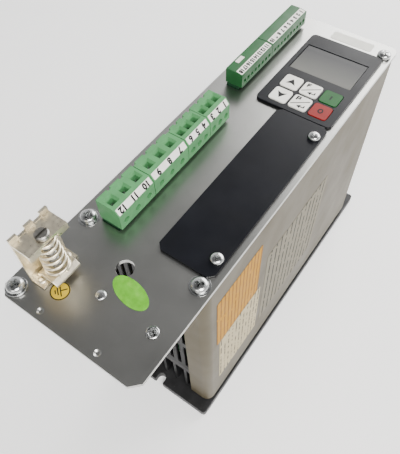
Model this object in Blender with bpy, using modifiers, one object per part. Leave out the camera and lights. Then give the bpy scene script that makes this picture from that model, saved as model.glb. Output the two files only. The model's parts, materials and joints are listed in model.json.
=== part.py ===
"""A slim panel-mounted variable frequency drive, lying on its back with its front plate facing up.

X runs across the drive, Y from its lower (cable) end to its upper (display) end, and Z from the wall
face to the front. The origin is the middle of the wall face. Sizes are in millimetres until finish()
turns each piece into metres.
"""

import math

import bmesh
import bpy
from mathutils import Matrix, Vector

MM = 0.001
GAP = 0.3  # clearance between pieces that touch

# Overall
BODY_WIDTH = 69.8
BODY_LENGTH = 185.3
DEPTH = 150.0  # wall face to the face of the front plate
SHEET = 1.5

# Mounting plate
MOUNT_THICKNESS = 6.0
MOUNT_OVERLAP = 0.6  # past each side of the body
LOWER_FLANGE = 6.5
UPPER_FLANGE = 14.5
MOUNT_SLOT_WIDTH = 5.5
LOWER_SLOT_DEPTH = 5.7
UPPER_SLOT_LENGTH = 8.0
UPPER_SLOT_INSET = 7.5

# Heat sink
FIN_COUNT = 9
FIN_THICKNESS = 2.0
FIN_HEIGHT = 26.0
SINK_BASE = 6.0

# Side covers and end grilles
COVER_LIFT = 5.0  # the covers stop this far above the mounting plate
COVER_FLANGE = 13.5
COVER_BEND = 5.0
COVER_LIP = 5.0
COVER_END_LIP = 10.0
GRILLE_THICKNESS = 2.0
GRILLE_INSET = 6.0  # from the inside of each side
GRILLE_SLOTS = 8
GRILLE_SLOT_WIDTH = 2.5
GRILLE_ROWS = 3
GRILLE_BAR = 6.0

# Front plate
PLATE_THICKNESS = 2.0
PLATE_OVERLAP = 0.6  # past each side of the body
PLATE_TAIL = 43.2  # past the lower end of the body, for the shielded cable
PLATE_HEAD = 1.0
PLATE_CHAMFER = 4.0
PLATE_CORNER = 4.0
ACCESS_HOLE_RADIUS = 4.0
ACCESS_HOLE_DROP = 6.6  # below the lower end of the body
DIMPLE_RADIUS = 1.5
DIMPLE_DEPTH = 0.5
DIMPLE_INSET = 3.4
DIMPLE_PLACES = (-15.0, 14.6)  # from the middle of the plate

# Fasteners: radius of the head, its height, radius of the shank, its length
M4 = (3.75, 2.6, 2.0, 9.7)
M3 = (3.0, 2.0, 1.5, 3.5)
SCREW_STEPS = 20
SHANK_GAP = 0.3
LOWER_SCREW_SPACE = (3.8, 2.4)  # from the inside of the side and end of a cover
UPPER_SCREW_SPACE = (2.5, 7.5)
CORNER_SCREW_SPACE = (3.5, 2.2)  # the upper left screw sits above the signal plugs
INSERT = (2.6, 1.75, 0.5, 6.0)  # outer radius, bore radius, rim height, length
INSERT_PLACE = (61.9, 21.2)  # from the lower left corner of the front plate
STUD = (2.35, 0.8, 1.6, 10.0)  # head radius, head height, shank radius, length
STUD_PLACE = (35.5, 21.7)
EARTH_PLACE = (5.4, 5.2)
EARTH_WASHER = (4.6, 0.8)

# Keypad
BEZEL_THICKNESS = 1.1
BEZEL_RIGHT = 3.1  # from the right edge of the front plate
BEZEL_DROP = 13.0  # from the upper end of the body
BEZEL_CORNER = 2.6
KEY_SIZE = 9.9
KEY_CORNER = 1.4
KEY_SPACE = (1.4, 1.6)  # between neighbouring keys, across and along
KEY_GRID = (3, 2)  # columns and rows
KEY_TRAVEL = 0.4
KEY_PROUD = 0.35
KEY_RIM = 0.25
KEY_RIM_THICKNESS = 0.8
KEY_STEM_RADIUS = 2.0
KEY_LEFT = 5.45  # left edge of the bezel to the first key
KEY_RIGHT = 4.45
KEY_RISE = 3.15  # lower edge of the bezel to the lower keys
KEY_TO_LCD = 6.35
LCD_WIDTH = 35.4
LCD_LENGTH = 22.0
LCD_DROP = 10.5  # upper edge of the bezel to the upper edge of the display window
LCD_RIGHT = 4.3
LCD_PANE = 0.9
LCD_FRAME = 0.5
SWITCH_SIZE = 6.0
SEAT = 0.4  # how far a joined shape sinks into its piece
KEYPAD_BOARD = 1.6
KEYPAD_BOARD_DROP = 3.2  # under the front plate

# Blank cover
COVER_PLATE_WIDTH = 28.2
COVER_PLATE_GAP = 0.5  # between the bezel and the blank cover
COVER_PLATE_RISE = 8.1  # above the lower end of the body
COVER_PLATE_CORNER = 2.5
COVER_SCREW_INSET = (3.6, 9.0)
ACCESS_WIDTH = 15.0
ACCESS_INSET = 16.0

# Terminal plugs: side of the front plate to the plug, width, height above the plate
WIDE_PLUG = dict(left=11.0, width=12.3, height=13.5, face=2.3, drop=3.0, wire=3.2, wire_x=5.4)
SLIM_PLUG = dict(left=6.8, width=10.0, height=10.3, face=4.6, drop=0.8, wire=1.9, wire_x=5.0)
# name, poles, pitch, length
POWER_PLUGS = (
    ("motor_plug", 3, 7.62, 22.8),
    ("mains_plug", 3, 7.62, 24.6),
    ("relay_plug", 3, 5.08, 17.0),
    ("sensor_plug", 3, 5.08, 16.2),
)
SIGNAL_PLUGS = (("output_plug", 8, 3.5, 30.2), ("input_plug", 10, 3.5, 37.0))
PLUG_SPACE = 0.4  # between neighbouring plugs
POWER_ROW_RISE = 6.4  # above the lower end of the body
SIGNAL_ROW_SPACE = 21.6  # after the power row
PLUG_TRAVEL = 8.0
SHROUD_PROUD = 1.5
SHROUD_WALL = 0.9
SHROUD_INSET = (0.6, 2.1)  # from the left and right side of the plug
PIN_SIZE = 1.0
SOCKET_SIZE = 1.8

# Boards
BOARD = 1.6
BOARD_MARGIN = 0.8
CONTROL_DROP = 8.5  # under the front plate
POWER_RISE = 13.2  # above the heat sink
STANDOFF_RADIUS = 2.8
STANDOFF_SPACE = 2.0  # to the nearest plug, lip or bend
STANDOFF_INSET = 5.0  # from the side of the power board

# Parts on the boards: left, right, lower edge above the lower end of the board, length, height
LOGIC_CHIP = (0.0, 14.0, 33.5, 14.0, 1.6)
MEMORY_CHIP = (2.0, 12.0, 63.5, 20.0, 2.4)
FILTER_BOX = (4.0, 30.0, 19.0, 16.0, 22.0)
RELAY_BOX = (10.0, 26.0, 48.0, 28.0, 16.0)
TRANSFORMER_BOX = (-28.0, -4.0, 52.0, 22.0, 20.0)
CAPACITOR = (13.5, 50.0)  # radius and height
CAPACITOR_SPACE = 3.0
CAPACITOR_DROP = 14.0  # below the upper end of the board
CHOKE = (12.0, 5.5)  # radius of the ring and of its winding
CHOKE_PLACE = (-15.0, 28.0)
CHOKE_STEPS = 10
MODULE_WIDTH = 40.0
MODULE_LENGTH = 52.0
MODULE_DROP = 19.5  # below the capacitors' upper end
RIBBON = (16.0, 0.9)  # width and thickness
RIBBON_RISE = 82.0
RIBBON_PLUG = (19.0, 5.5, 6.0)

# Shield clamp
CLAMP_PLACE = (8.0, 20.2)  # back of the spine and middle, from the lower left corner of the plate
CLAMP_LENGTH = 19.0
CLAMP_HEIGHT = 27.0
CLAMP_REACH = 10.5
CLAMP_SHEET = 1.2
CLAMP_TOOTH = 2.4
CLAMP_LIP = (5.0, 3.6)  # length and depth of each front lip
CLAMP_FOOT = (5.2, 7.6)  # length and reach of each foot
CLAMP_RIVET = 1.6
CLAMP_SCREW = (2.9, 1.8, 1.9)  # head radius and height, and thread radius
CLAMP_SCREW_REACH = 7.6
CLAMP_SLOT = 0.6
SADDLE_LENGTH = 13.0
SADDLE_WIDTH = 11.0
SADDLE_WING = 1.6  # how far its edges are turned down
SADDLE_REST = 3.0  # underside of the saddle above the foot
SPRING_TURNS = 6.0
SPRING_WIRE = 0.55
SPRING_RADII = (3.6, 5.0)
SPRING_POINTS = 12  # for each turn

# Worked out from the sizes above
BODY_LOW = -(BODY_LENGTH + LOWER_FLANGE + UPPER_FLANGE) / 2 + LOWER_FLANGE
BODY_HIGH = BODY_LOW + BODY_LENGTH
MOUNT_LOW = BODY_LOW - LOWER_FLANGE
MOUNT_HIGH = BODY_HIGH + UPPER_FLANGE
SIDE = BODY_WIDTH / 2
INNER_SIDE = SIDE - SHEET
PLATE_SIDE = SIDE + PLATE_OVERLAP
PLATE_LOW = BODY_LOW - PLATE_TAIL
PLATE_HIGH = BODY_HIGH + PLATE_HEAD
PLATE_UNDER = DEPTH - PLATE_THICKNESS
COVER_LOW = MOUNT_THICKNESS + COVER_LIFT
COVER_HIGH = PLATE_UNDER - GAP
SINK_LOW = MOUNT_THICKNESS + GAP
SINK_HIGH = SINK_LOW + FIN_HEIGHT + SINK_BASE
INNER_LOW = BODY_LOW + SHEET
INNER_HIGH = BODY_HIGH - SHEET
GRILLE_LOW = SINK_HIGH + GAP
GRILLE_HIGH = COVER_HIGH - SHEET - GAP
KEYS_WIDTH = KEY_GRID[0] * (KEY_SIZE + KEY_SPACE[0]) - KEY_SPACE[0]
KEYS_LENGTH = KEY_GRID[1] * (KEY_SIZE + KEY_SPACE[1]) - KEY_SPACE[1]
BEZEL_WIDTH = KEY_LEFT + KEYS_WIDTH + KEY_RIGHT
BEZEL_LENGTH = KEY_RISE + KEYS_LENGTH + KEY_TO_LCD + LCD_LENGTH + LCD_DROP
BEZEL_X = (PLATE_SIDE - BEZEL_RIGHT - BEZEL_WIDTH, PLATE_SIDE - BEZEL_RIGHT)
BEZEL_Y = (BODY_HIGH - BEZEL_DROP - BEZEL_LENGTH, BODY_HIGH - BEZEL_DROP)
KEYS_X = (BEZEL_X[0] + KEY_LEFT, BEZEL_X[1] - KEY_RIGHT)
KEYS_LOW = BEZEL_Y[0] + KEY_RISE
BEZEL_Z = (DEPTH + GAP, DEPTH + GAP + BEZEL_THICKNESS)
LCD_X = (BEZEL_X[1] - LCD_RIGHT - LCD_WIDTH, BEZEL_X[1] - LCD_RIGHT)
LCD_Y = (BEZEL_Y[1] - LCD_DROP - LCD_LENGTH, BEZEL_Y[1] - LCD_DROP)
BLANK_X = (BEZEL_X[1] - COVER_PLATE_WIDTH, BEZEL_X[1])
BLANK_Y = (BODY_LOW + COVER_PLATE_RISE, BEZEL_Y[0] - COVER_PLATE_GAP)
CONTROL_HIGH = PLATE_UNDER - CONTROL_DROP
CONTROL_LOW = CONTROL_HIGH - BOARD
POWER_LOW = SINK_HIGH + POWER_RISE
POWER_HIGH = POWER_LOW + BOARD
BOARD_X = (-INNER_SIDE + BOARD_MARGIN, INNER_SIDE - BOARD_MARGIN)
BOARD_INSET = GAP + GRILLE_THICKNESS + BOARD_MARGIN
BOARD_Y = (INNER_LOW + BOARD_INSET, INNER_HIGH - BOARD_INSET)
STEM_LOW = PLATE_UNDER - 0.1
SWITCH_HIGH = STEM_LOW - KEY_TRAVEL - GAP / 2
KEYPAD_BOARD_HIGH = PLATE_UNDER - KEYPAD_BOARD_DROP
SHROUD_HIGH = DEPTH + SHROUD_PROUD
SHROUD_FLOOR = SHROUD_HIGH - PLUG_TRAVEL - GAP
HEADER_LOW = CONTROL_HIGH + GAP
PIN_HIGH = SHROUD_HIGH - 1.8
CLAMP_X = CLAMP_PLACE[0] - PLATE_SIDE
CLAMP_Y = CLAMP_PLACE[1] + PLATE_LOW
CLAMP_LOW = DEPTH + GAP
CLAMP_TOP = CLAMP_LOW + CLAMP_HEIGHT
SCREW_PLACE = (CLAMP_X + CLAMP_SCREW_REACH, CLAMP_Y)
SADDLE_LOW = CLAMP_LOW + CLAMP_SHEET + SADDLE_REST
SADDLE_HIGH = SADDLE_LOW + CLAMP_SHEET

# Colour, roughness, metallic
GALVANISED = ((0.52, 0.52, 0.50), 0.35, 1.0)
SIDE_SHEET = ((0.46, 0.42, 0.34), 0.45, 0.8)
BLACK_ANODISED = ((0.015, 0.015, 0.017), 0.5, 0.6)
BLACK_PLASTIC = ((0.02, 0.02, 0.024), 0.3, 0.0)
ZINC = ((0.70, 0.70, 0.68), 0.25, 1.0)
TINNED = ((0.72, 0.68, 0.58), 0.22, 1.0)
LIGHT_GREEN = ((0.22, 0.52, 0.27), 0.4, 0.0)
DARK_GREEN = ((0.06, 0.28, 0.10), 0.4, 0.0)
HEADER_BLACK = ((0.02, 0.05, 0.03), 0.45, 0.0)
KEY_WHITE = ((0.78, 0.77, 0.72), 0.45, 0.0)
KEY_GREEN = ((0.05, 0.24, 0.06), 0.45, 0.0)
KEY_RED = ((0.60, 0.08, 0.06), 0.45, 0.0)
PANE = ((0.25, 0.26, 0.24), 0.15, 0.0)
BOARD_GREEN = ((0.03, 0.20, 0.08), 0.4, 0.0)
BRASS = ((0.75, 0.58, 0.25), 0.3, 1.0)
CAPACITOR_SLEEVE = ((0.03, 0.04, 0.07), 0.4, 0.0)
WOUND_COPPER = ((0.55, 0.22, 0.08), 0.35, 0.7)
BOX_YELLOW = ((0.75, 0.60, 0.12), 0.5, 0.0)
RIBBON_GREY = ((0.45, 0.45, 0.45), 0.6, 0.0)


def clear_scene():
    for obj in list(bpy.data.objects):
        bpy.data.objects.remove(obj)


def new_collection(name):
    group = bpy.data.collections.new(name)
    bpy.context.scene.collection.children.link(group)
    return group


def coat(name, finish_values):
    """A Principled material of the piece's own colour, roughness and metallic value."""
    colour, roughness, metallic = finish_values
    made = bpy.data.materials.new(name)
    made.use_nodes = True
    shader = made.node_tree.nodes["Principled BSDF"]
    shader.inputs["Base Color"].default_value = (*colour, 1.0)
    shader.inputs["Roughness"].default_value = roughness
    shader.inputs["Metallic"].default_value = metallic
    return made


def add_box(bm, x, y, z):
    """A box between the low and high value on each axis."""
    verts = bmesh.ops.create_cube(bm, size=1)["verts"]
    spans = (x, y, z)
    bmesh.ops.scale(bm, vec=[high - low for low, high in spans], verts=verts)
    bmesh.ops.translate(bm, vec=[(high + low) / 2 for low, high in spans], verts=verts)
    return verts


def add_cylinder(bm, radius, place, z, segments=24, top_radius=None):
    """An upright cylinder or cone at an X and Y, from a low to a high Z."""
    return bmesh.ops.create_cone(
        bm,
        cap_ends=True,
        segments=segments,
        radius1=radius,
        radius2=radius if top_radius is None else top_radius,
        depth=z[1] - z[0],
        matrix=Matrix.Translation((place[0], place[1], (z[0] + z[1]) / 2)),
    )["verts"]


def add_cross_cylinder(bm, radius, x, y, z, segments=12):
    """A cylinder along X, centred at a Y and Z."""
    middle = Matrix.Translation(((x[0] + x[1]) / 2, y, z))
    return bmesh.ops.create_cone(
        bm,
        cap_ends=True,
        segments=segments,
        radius1=radius,
        radius2=radius,
        depth=x[1] - x[0],
        matrix=middle @ Matrix.Rotation(math.pi / 2, 4, "Y"),
    )["verts"]


def upright_edges(bm, verts=None):
    """The edges parallel to Z."""
    inside = set(verts or bm.verts)
    return [
        edge
        for edge in bm.edges
        if edge.verts[0] in inside
        and abs(edge.verts[0].co.z - edge.verts[1].co.z) > 0.9 * edge.calc_length()
    ]


def round_edges(bm, edges, width, segments=1):
    bmesh.ops.bevel(
        bm, geom=edges, offset=width, affect="EDGES", segments=segments, profile=0.5, material=-1
    )


def add_plate(bm, x, y, z, corner, segments=3):
    """A flat box with its upright corners rounded, or chamfered with one segment."""
    verts = add_box(bm, x, y, z)
    round_edges(bm, upright_edges(bm, verts), corner, segments)


def prism(points, y):
    """A bmesh of an X-Z outline drawn out along Y, made from a flat filled curve."""
    curve = bpy.data.curves.new("outline", "CURVE")
    curve.dimensions = "2D"
    curve.fill_mode = "BOTH"
    curve.extrude = (y[1] - y[0]) / 2
    line = curve.splines.new("POLY")
    line.points.add(len(points) - 1)
    for point, (across, up) in zip(line.points, points):
        point.co = (across, up, 0, 1)
    line.use_cyclic_u = True
    holder = bpy.data.objects.new("outline", curve)
    bpy.context.scene.collection.objects.link(holder)
    mesh = bpy.data.meshes.new_from_object(
        holder.evaluated_get(bpy.context.evaluated_depsgraph_get())
    )
    bpy.data.objects.remove(holder)
    bm = bmesh.new()
    bm.from_mesh(mesh)
    bmesh.ops.remove_doubles(bm, verts=bm.verts, dist=GAP / 100)
    bmesh.ops.rotate(bm, matrix=Matrix.Rotation(math.pi / 2, 3, "X"), verts=bm.verts)
    bmesh.ops.translate(bm, vec=(0, (y[0] + y[1]) / 2, 0), verts=bm.verts)
    bmesh.ops.recalc_face_normals(bm, faces=bm.faces)
    return bm


def to_mesh(name, bm, origin):
    """Move a bmesh in millimetres to its origin and turn it into a mesh in metres."""
    bmesh.ops.translate(bm, vec=-Vector(origin), verts=bm.verts)
    bmesh.ops.scale(bm, vec=(MM, MM, MM), verts=bm.verts)
    mesh = bpy.data.meshes.new(name)
    bm.to_mesh(mesh)
    bm.free()
    return mesh


def finish(name, bm, coating, origin=(0, 0, 0)):
    """A named piece of the drive, smooth where it is round."""
    mesh = to_mesh(name, bm, origin)
    mesh.shade_smooth()
    mesh.set_sharp_from_angle(angle=math.radians(35))
    mesh.materials.append(coat(name, coating))
    piece = bpy.data.objects.new(name, mesh)
    piece.location = Vector(origin) * MM
    DRIVE.objects.link(piece)
    return piece


def helper(name, bm, origin=(0, 0, 0)):
    """A shape that cuts or joins a piece and is not a piece itself."""
    shape = bpy.data.objects.new(name, to_mesh(name, bm, origin))
    shape.location = Vector(origin) * MM
    shape.hide_render = True
    shape.display_type = "WIRE"
    CUTTERS.objects.link(shape)
    return shape


def combine(piece, shape, operation):
    step = piece.modifiers.new(shape.name, "BOOLEAN")
    step.operation = operation
    step.object = shape


def cut(piece, shape):
    combine(piece, shape, "DIFFERENCE")


def join(piece, shape):
    combine(piece, shape, "UNION")


def turned(name, profile, coating, origin, steps=SCREW_STEPS):
    """A turned piece: a profile of (radius, height) pairs, top to bottom, spun about Z at the origin."""
    mesh = bpy.data.meshes.new(name)
    points = [(radius * MM, 0, height * MM) for radius, height in profile]
    mesh.from_pydata(points, [(k, k + 1) for k in range(len(points) - 1)], [])
    mesh.materials.append(coat(name, coating))
    piece = bpy.data.objects.new(name, mesh)
    piece.location = Vector(origin) * MM
    DRIVE.objects.link(piece)
    spin = piece.modifiers.new("turn", "SCREW")
    spin.steps = steps
    spin.render_steps = steps
    spin.use_merge_vertices = True
    spin.merge_threshold = 0.00001
    spin.use_smooth_shade = True
    return piece


def around(place, size):
    """X and Y spans of a square of one size about a place."""
    half = size / 2
    return (place[0] - half, place[0] + half), (place[1] - half, place[1] + half)


def grown(span, by):
    return (span[0] - by, span[1] + by)


def plate_place(place):
    """X and Y of a point measured from the lower left corner of the front plate."""
    return (place[0] - PLATE_SIDE, place[1] + PLATE_LOW)


# Structure


def mounting_plate():
    side = SIDE + MOUNT_OVERLAP
    bm = bmesh.new()
    add_plate(bm, (-side, side), (MOUNT_LOW, MOUNT_HIGH), (0, MOUNT_THICKNESS), 2.0)
    piece = finish("mounting_plate", bm, BLACK_ANODISED)
    through = (-1, MOUNT_THICKNESS + 1)
    half = MOUNT_SLOT_WIDTH / 2
    slots = bmesh.new()
    slot_end = MOUNT_LOW + LOWER_SLOT_DEPTH - half
    add_plate(slots, (-half, half), (MOUNT_LOW - 8, slot_end + half), through, half - 0.05, 5)
    middle = MOUNT_HIGH - UPPER_SLOT_INSET
    reach = UPPER_SLOT_LENGTH / 2
    add_plate(slots, (-half, half), (middle - reach, middle + reach), through, half - 0.05, 5)
    cut(piece, helper("mount_slots", slots))


def heat_sink():
    side = INNER_SIDE - GAP
    ends = (INNER_LOW + 2 * GAP, INNER_HIGH - GAP)
    bm = bmesh.new()
    add_plate(bm, (-side, side), ends, (SINK_LOW, SINK_HIGH), COVER_BEND - SHEET)
    piece = finish("heat_sink", bm, BLACK_ANODISED)
    pitch = (2 * side - FIN_THICKNESS) / (FIN_COUNT - 1)
    channels = bmesh.new()
    for k in range(FIN_COUNT - 1):
        left = -side + FIN_THICKNESS + k * pitch
        across = (left, left + pitch - FIN_THICKNESS)
        add_box(channels, across, (ends[0] - 5, ends[1] + 5), (SINK_LOW - 5, SINK_LOW + FIN_HEIGHT))
    cut(piece, helper("fin_channels", channels))


def header_rows():
    """X and Y spans of the two rows of headers, with the clearance of a cutout."""
    rows = []
    for style, row in ((WIDE_PLUG, place_plugs()[:4]), (SLIM_PLUG, place_plugs()[4:])):
        x = shroud_x(style)
        rows.append(((x[0] - GAP, x[1] + GAP), (row[0]["y"][0] - GAP, row[-1]["y"][1] + GAP)))
    return rows


def side_cover(name, side):
    """A pan of sheet: one side, two ends bent inwards, and a lip behind the front plate."""
    x = sorted((side * SIDE, side * (SIDE - COVER_FLANGE)))
    bm = bmesh.new()
    add_box(bm, x, (BODY_LOW, BODY_HIGH), (COVER_LOW, COVER_HIGH))
    bm.normal_update()
    open_faces = [f for f in bm.faces if f.normal.z < -0.5 or f.normal.x * side < -0.5]
    bmesh.ops.delete(bm, geom=open_faces, context="FACES_ONLY")
    corners = [edge for edge in upright_edges(bm) if abs(edge.verts[0].co.x) > SIDE - 1]
    round_edges(bm, corners, COVER_BEND, 4)
    piece = finish(name, bm, SIDE_SHEET)
    wall = piece.modifiers.new("sheet", "SOLIDIFY")
    wall.thickness = SHEET * MM
    wall.offset = -1
    wall.use_even_offset = True
    lip = bmesh.new()
    inner = sorted((side * (SIDE - COVER_FLANGE - 1), side * (SIDE - COVER_LIP)))
    over = (COVER_HIGH - SHEET - 1, COVER_HIGH + 1)
    add_box(lip, inner, (BODY_LOW + COVER_END_LIP, BODY_HIGH - COVER_END_LIP), over)
    cut(piece, helper(name + "_lip", lip))
    holes = bmesh.new()
    for place in front_screw_places():
        if place[0] * side > 0:
            add_cylinder(holes, M4[2] + SHANK_GAP, place, over)
    if side < 0:
        for x_span, y_span in header_rows():
            low = x_span[0] - GAP
            high = -SIDE + COVER_FLANGE + 1
            add_box(holes, (low, high), (y_span[0] - GAP, y_span[1] + GAP), over)
    cut(piece, helper(name + "_holes", holes))


def end_grille(name, wall, inward):
    """A slotted panel that closes one end between the bent edges of the covers."""
    y = sorted((wall + inward * GAP, wall + inward * (GAP + GRILLE_THICKNESS)))
    half = INNER_SIDE - GRILLE_INSET
    bm = bmesh.new()
    add_box(bm, (-half, half), y, (GRILLE_LOW, GRILLE_HIGH))
    piece = finish(name, bm, BLACK_PLASTIC)
    slots = bmesh.new()
    open_half = SIDE - COVER_FLANGE - GRILLE_SLOT_WIDTH
    pitch = 2 * open_half / (GRILLE_SLOTS - 1)
    row = (GRILLE_HIGH - GRILLE_LOW - GRILLE_BAR) / GRILLE_ROWS
    for column in range(GRILLE_SLOTS):
        middle = -open_half + column * pitch
        x = (middle - GRILLE_SLOT_WIDTH / 2, middle + GRILLE_SLOT_WIDTH / 2)
        for k in range(GRILLE_ROWS):
            low = GRILLE_LOW + GRILLE_BAR + k * row
            add_box(slots, x, (y[0] - 1, y[1] + 1), (low, low + row - GRILLE_BAR))
    cut(piece, helper(name + "_slots", slots))


def front_plate():
    span = (PLATE_UNDER, DEPTH)
    through = (PLATE_UNDER - 1, DEPTH + 1)
    bm = bmesh.new()
    add_box(bm, (-PLATE_SIDE, PLATE_SIDE), (PLATE_LOW, PLATE_HIGH), span)
    lower = [edge for edge in upright_edges(bm) if edge.verts[0].co.y < 0]
    round_edges(bm, lower, PLATE_CHAMFER)
    upper = [edge for edge in upright_edges(bm) if edge.verts[0].co.y > 0]
    round_edges(bm, upper, PLATE_CORNER, 4)
    piece = finish("front_plate", bm, GALVANISED)
    holes = bmesh.new()
    for place in front_screw_places():
        add_cylinder(holes, M4[2] + SHANK_GAP, place, through)
    add_cylinder(holes, M4[2] + SHANK_GAP, plate_place(EARTH_PLACE), through)
    add_cylinder(holes, ACCESS_HOLE_RADIUS, (0, BODY_LOW - ACCESS_HOLE_DROP), through, 32)
    add_cylinder(holes, INSERT[0] + GAP / 2, plate_place(INSERT_PLACE), through)
    add_cylinder(holes, STUD[2] + SHANK_GAP, plate_place(STUD_PLACE), through)
    for place in clamp_rivet_places():
        add_cylinder(holes, CLAMP_RIVET, place, through, 12)
    for x, y in header_rows():
        add_box(holes, x, y, through)
    rims, frame = grown(KEYS_X, KEY_RIM + GAP), grown(LCD_X, LCD_FRAME)
    keypad_x = (min(rims[0], frame[0]), max(rims[1], frame[1]))
    keypad_y = (KEYS_LOW - KEY_RIM - GAP, LCD_Y[1] + LCD_FRAME)
    add_box(holes, grown(keypad_x, GAP), grown(keypad_y, GAP), through)
    middle = (BLANK_X[0] + BLANK_X[1]) / 2
    window = (middle - ACCESS_WIDTH / 2, middle + ACCESS_WIDTH / 2)
    add_box(holes, window, (BLANK_Y[0] + ACCESS_INSET, BLANK_Y[1] - ACCESS_INSET), through)
    for place in blank_screw_places():
        add_cylinder(holes, M3[2] + SHANK_GAP, place, through)
    for x in DIMPLE_PLACES:
        place = (x, PLATE_LOW + DIMPLE_INSET)
        dent = (DEPTH - DIMPLE_DEPTH, DEPTH + DIMPLE_DEPTH)
        add_cylinder(holes, DIMPLE_RADIUS / 2, place, dent, 12, 1.5 * DIMPLE_RADIUS)
    cut(piece, helper("front_plate_holes", holes))


# Fasteners


def front_screw_places():
    """X and Y of the four screws that hold the front plate to the covers."""
    lower = INNER_SIDE - LOWER_SCREW_SPACE[0]
    low = INNER_LOW + LOWER_SCREW_SPACE[1]
    corner = (CORNER_SCREW_SPACE[0] - INNER_SIDE, INNER_HIGH - CORNER_SCREW_SPACE[1])
    upper = (INNER_SIDE - UPPER_SCREW_SPACE[0], INNER_HIGH - UPPER_SCREW_SPACE[1])
    return ((-lower, low), (lower, low), corner, upper)


def pan_screw(name, size, place, seat):
    """A pan head screw with a cross recess, its head resting just above the seat."""
    head, height, shank, length = size
    profile = (
        (0, height),
        (0.45 * head, 0.96 * height),
        (0.75 * head, 0.78 * height),
        (0.95 * head, 0.42 * height),
        (head, 0.12 * height),
        (head, 0),
        (shank, 0),
        (shank, 0.5 - length),
        (shank - 0.5, -length),
        (0, -length),
    )
    origin = (place[0], place[1], seat + GAP)
    piece = turned(name, profile, ZINC, origin)
    recess = bmesh.new()
    arm, width = 0.55 * head, 0.09 * head + 0.15
    depth = (seat + GAP + 0.45 * height, seat + GAP + height + 1)
    x, y = place
    add_box(recess, (x - arm, x + arm), (y - width, y + width), depth)
    cut(piece, helper(name + "_recess", recess))
    cross = bmesh.new()
    add_box(cross, (x - width, x + width), (y - arm, y + arm), (depth[0] - 0.02, depth[1]))
    cut(piece, helper(name + "_recess_2", cross))


def fasteners():
    names = ("front_screw_lower_left", "front_screw_lower_right")
    names += ("front_screw_upper_left", "front_screw_upper_right")
    for name, place in zip(names, front_screw_places()):
        pan_screw(name, M4, place, DEPTH)
    for name, place in zip(("cover_screw_lower", "cover_screw_upper"), blank_screw_places()):
        pan_screw(name, M3, place, BEZEL_Z[1])
    place = plate_place(EARTH_PLACE)
    radius, thickness = EARTH_WASHER
    seat = DEPTH + GAP + thickness
    washer = bmesh.new()
    add_cylinder(washer, radius, place, (DEPTH + GAP, seat), 18)
    ring = finish("earth_washer", washer, ZINC)
    bore = bmesh.new()
    add_cylinder(bore, M4[2] + SHANK_GAP, place, (DEPTH - 1, seat + 1))
    cut(ring, helper("earth_washer_bore", bore))
    pan_screw("earth_screw", M4, place, seat)


def threaded_insert():
    """A pressed insert: a rim on the front plate, a body through it, and a bore."""
    radius, bore, rim, length = INSERT
    place = plate_place(INSERT_PLACE)
    profile = (
        (bore, rim),
        (radius - 0.2, rim),
        (radius, rim - 0.2),
        (radius, rim - length),
        (bore, rim - length),
        (bore, rim),
    )
    turned("threaded_insert", profile, ZINC, (*place, DEPTH), 24)


def pressed_stud():
    head, height, shank, length = STUD
    profile = (
        (0, height),
        (0.7 * head, 0.8 * height),
        (head, 0.2 * height),
        (head, 0),
        (shank, 0),
        (shank, -length),
        (0, -length),
    )
    turned("pressed_stud", profile, ZINC, (*plate_place(STUD_PLACE), DEPTH + GAP), 20)


# Keypad


def key_place(column, row):
    """Middle of a key: columns count from the left, rows from the lower end."""
    x = KEYS_X[0] + KEY_SIZE / 2 + column * (KEY_SIZE + KEY_SPACE[0])
    return (x, KEYS_LOW + KEY_SIZE / 2 + row * (KEY_SIZE + KEY_SPACE[1]))


KEYS = (
    dict(name="key_down", at=(0, 0), coating=KEY_WHITE),
    dict(name="key_parameter", at=(1, 0), coating=KEY_WHITE),
    dict(name="key_stop", at=(2, 0), coating=KEY_RED),
    dict(name="key_up", at=(0, 1), coating=KEY_WHITE),
    dict(name="key_function", at=(1, 1), coating=KEY_WHITE),
    dict(name="key_start", at=(2, 1), coating=KEY_GREEN),
)


def keypad_bezel():
    bm = bmesh.new()
    add_plate(bm, BEZEL_X, BEZEL_Y, BEZEL_Z, BEZEL_CORNER)
    bezel = finish("keypad_bezel", bm, BLACK_PLASTIC)
    through = grown(BEZEL_Z, 1)
    holes = bmesh.new()
    for key in KEYS:
        x, y = around(key_place(*key["at"]), KEY_SIZE + 2 * GAP)
        add_plate(holes, x, y, through, KEY_CORNER + GAP)
    add_box(holes, grown(LCD_X, GAP), grown(LCD_Y, GAP), through)
    cut(bezel, helper("keypad_openings", holes))


def display():
    """The window in the bezel and the display module under it."""
    pane = bmesh.new()
    pane_high = BEZEL_Z[1] - GAP
    add_box(pane, LCD_X, LCD_Y, (pane_high - LCD_PANE, pane_high))
    finish("display_window", pane, PANE)
    module = bmesh.new()
    height = (KEYPAD_BOARD_HIGH + GAP, DEPTH)
    add_box(module, grown(LCD_X, LCD_FRAME), grown(LCD_Y, LCD_FRAME), height)
    finish("display_module", module, PANE)


def push_key(name, place, coating):
    """A cap with a rim that holds it under the bezel, and a stem over its switch."""
    origin = (*place, BEZEL_Z[1])
    cap = bmesh.new()
    x, y = around(place, KEY_SIZE)
    add_plate(cap, x, y, (DEPTH - SEAT, BEZEL_Z[1] + KEY_PROUD), KEY_CORNER)
    key = finish(name, cap, coating, origin)
    rim = bmesh.new()
    x, y = around(place, KEY_SIZE + 2 * (GAP + KEY_RIM))
    add_plate(rim, x, y, (DEPTH - KEY_RIM_THICKNESS, DEPTH), KEY_CORNER)
    join(key, helper(name + "_rim", rim, origin))
    stem = bmesh.new()
    add_cylinder(stem, KEY_STEM_RADIUS, place, (STEM_LOW, DEPTH - GAP), 16)
    join(key, helper(name + "_stem", stem, origin))


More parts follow.
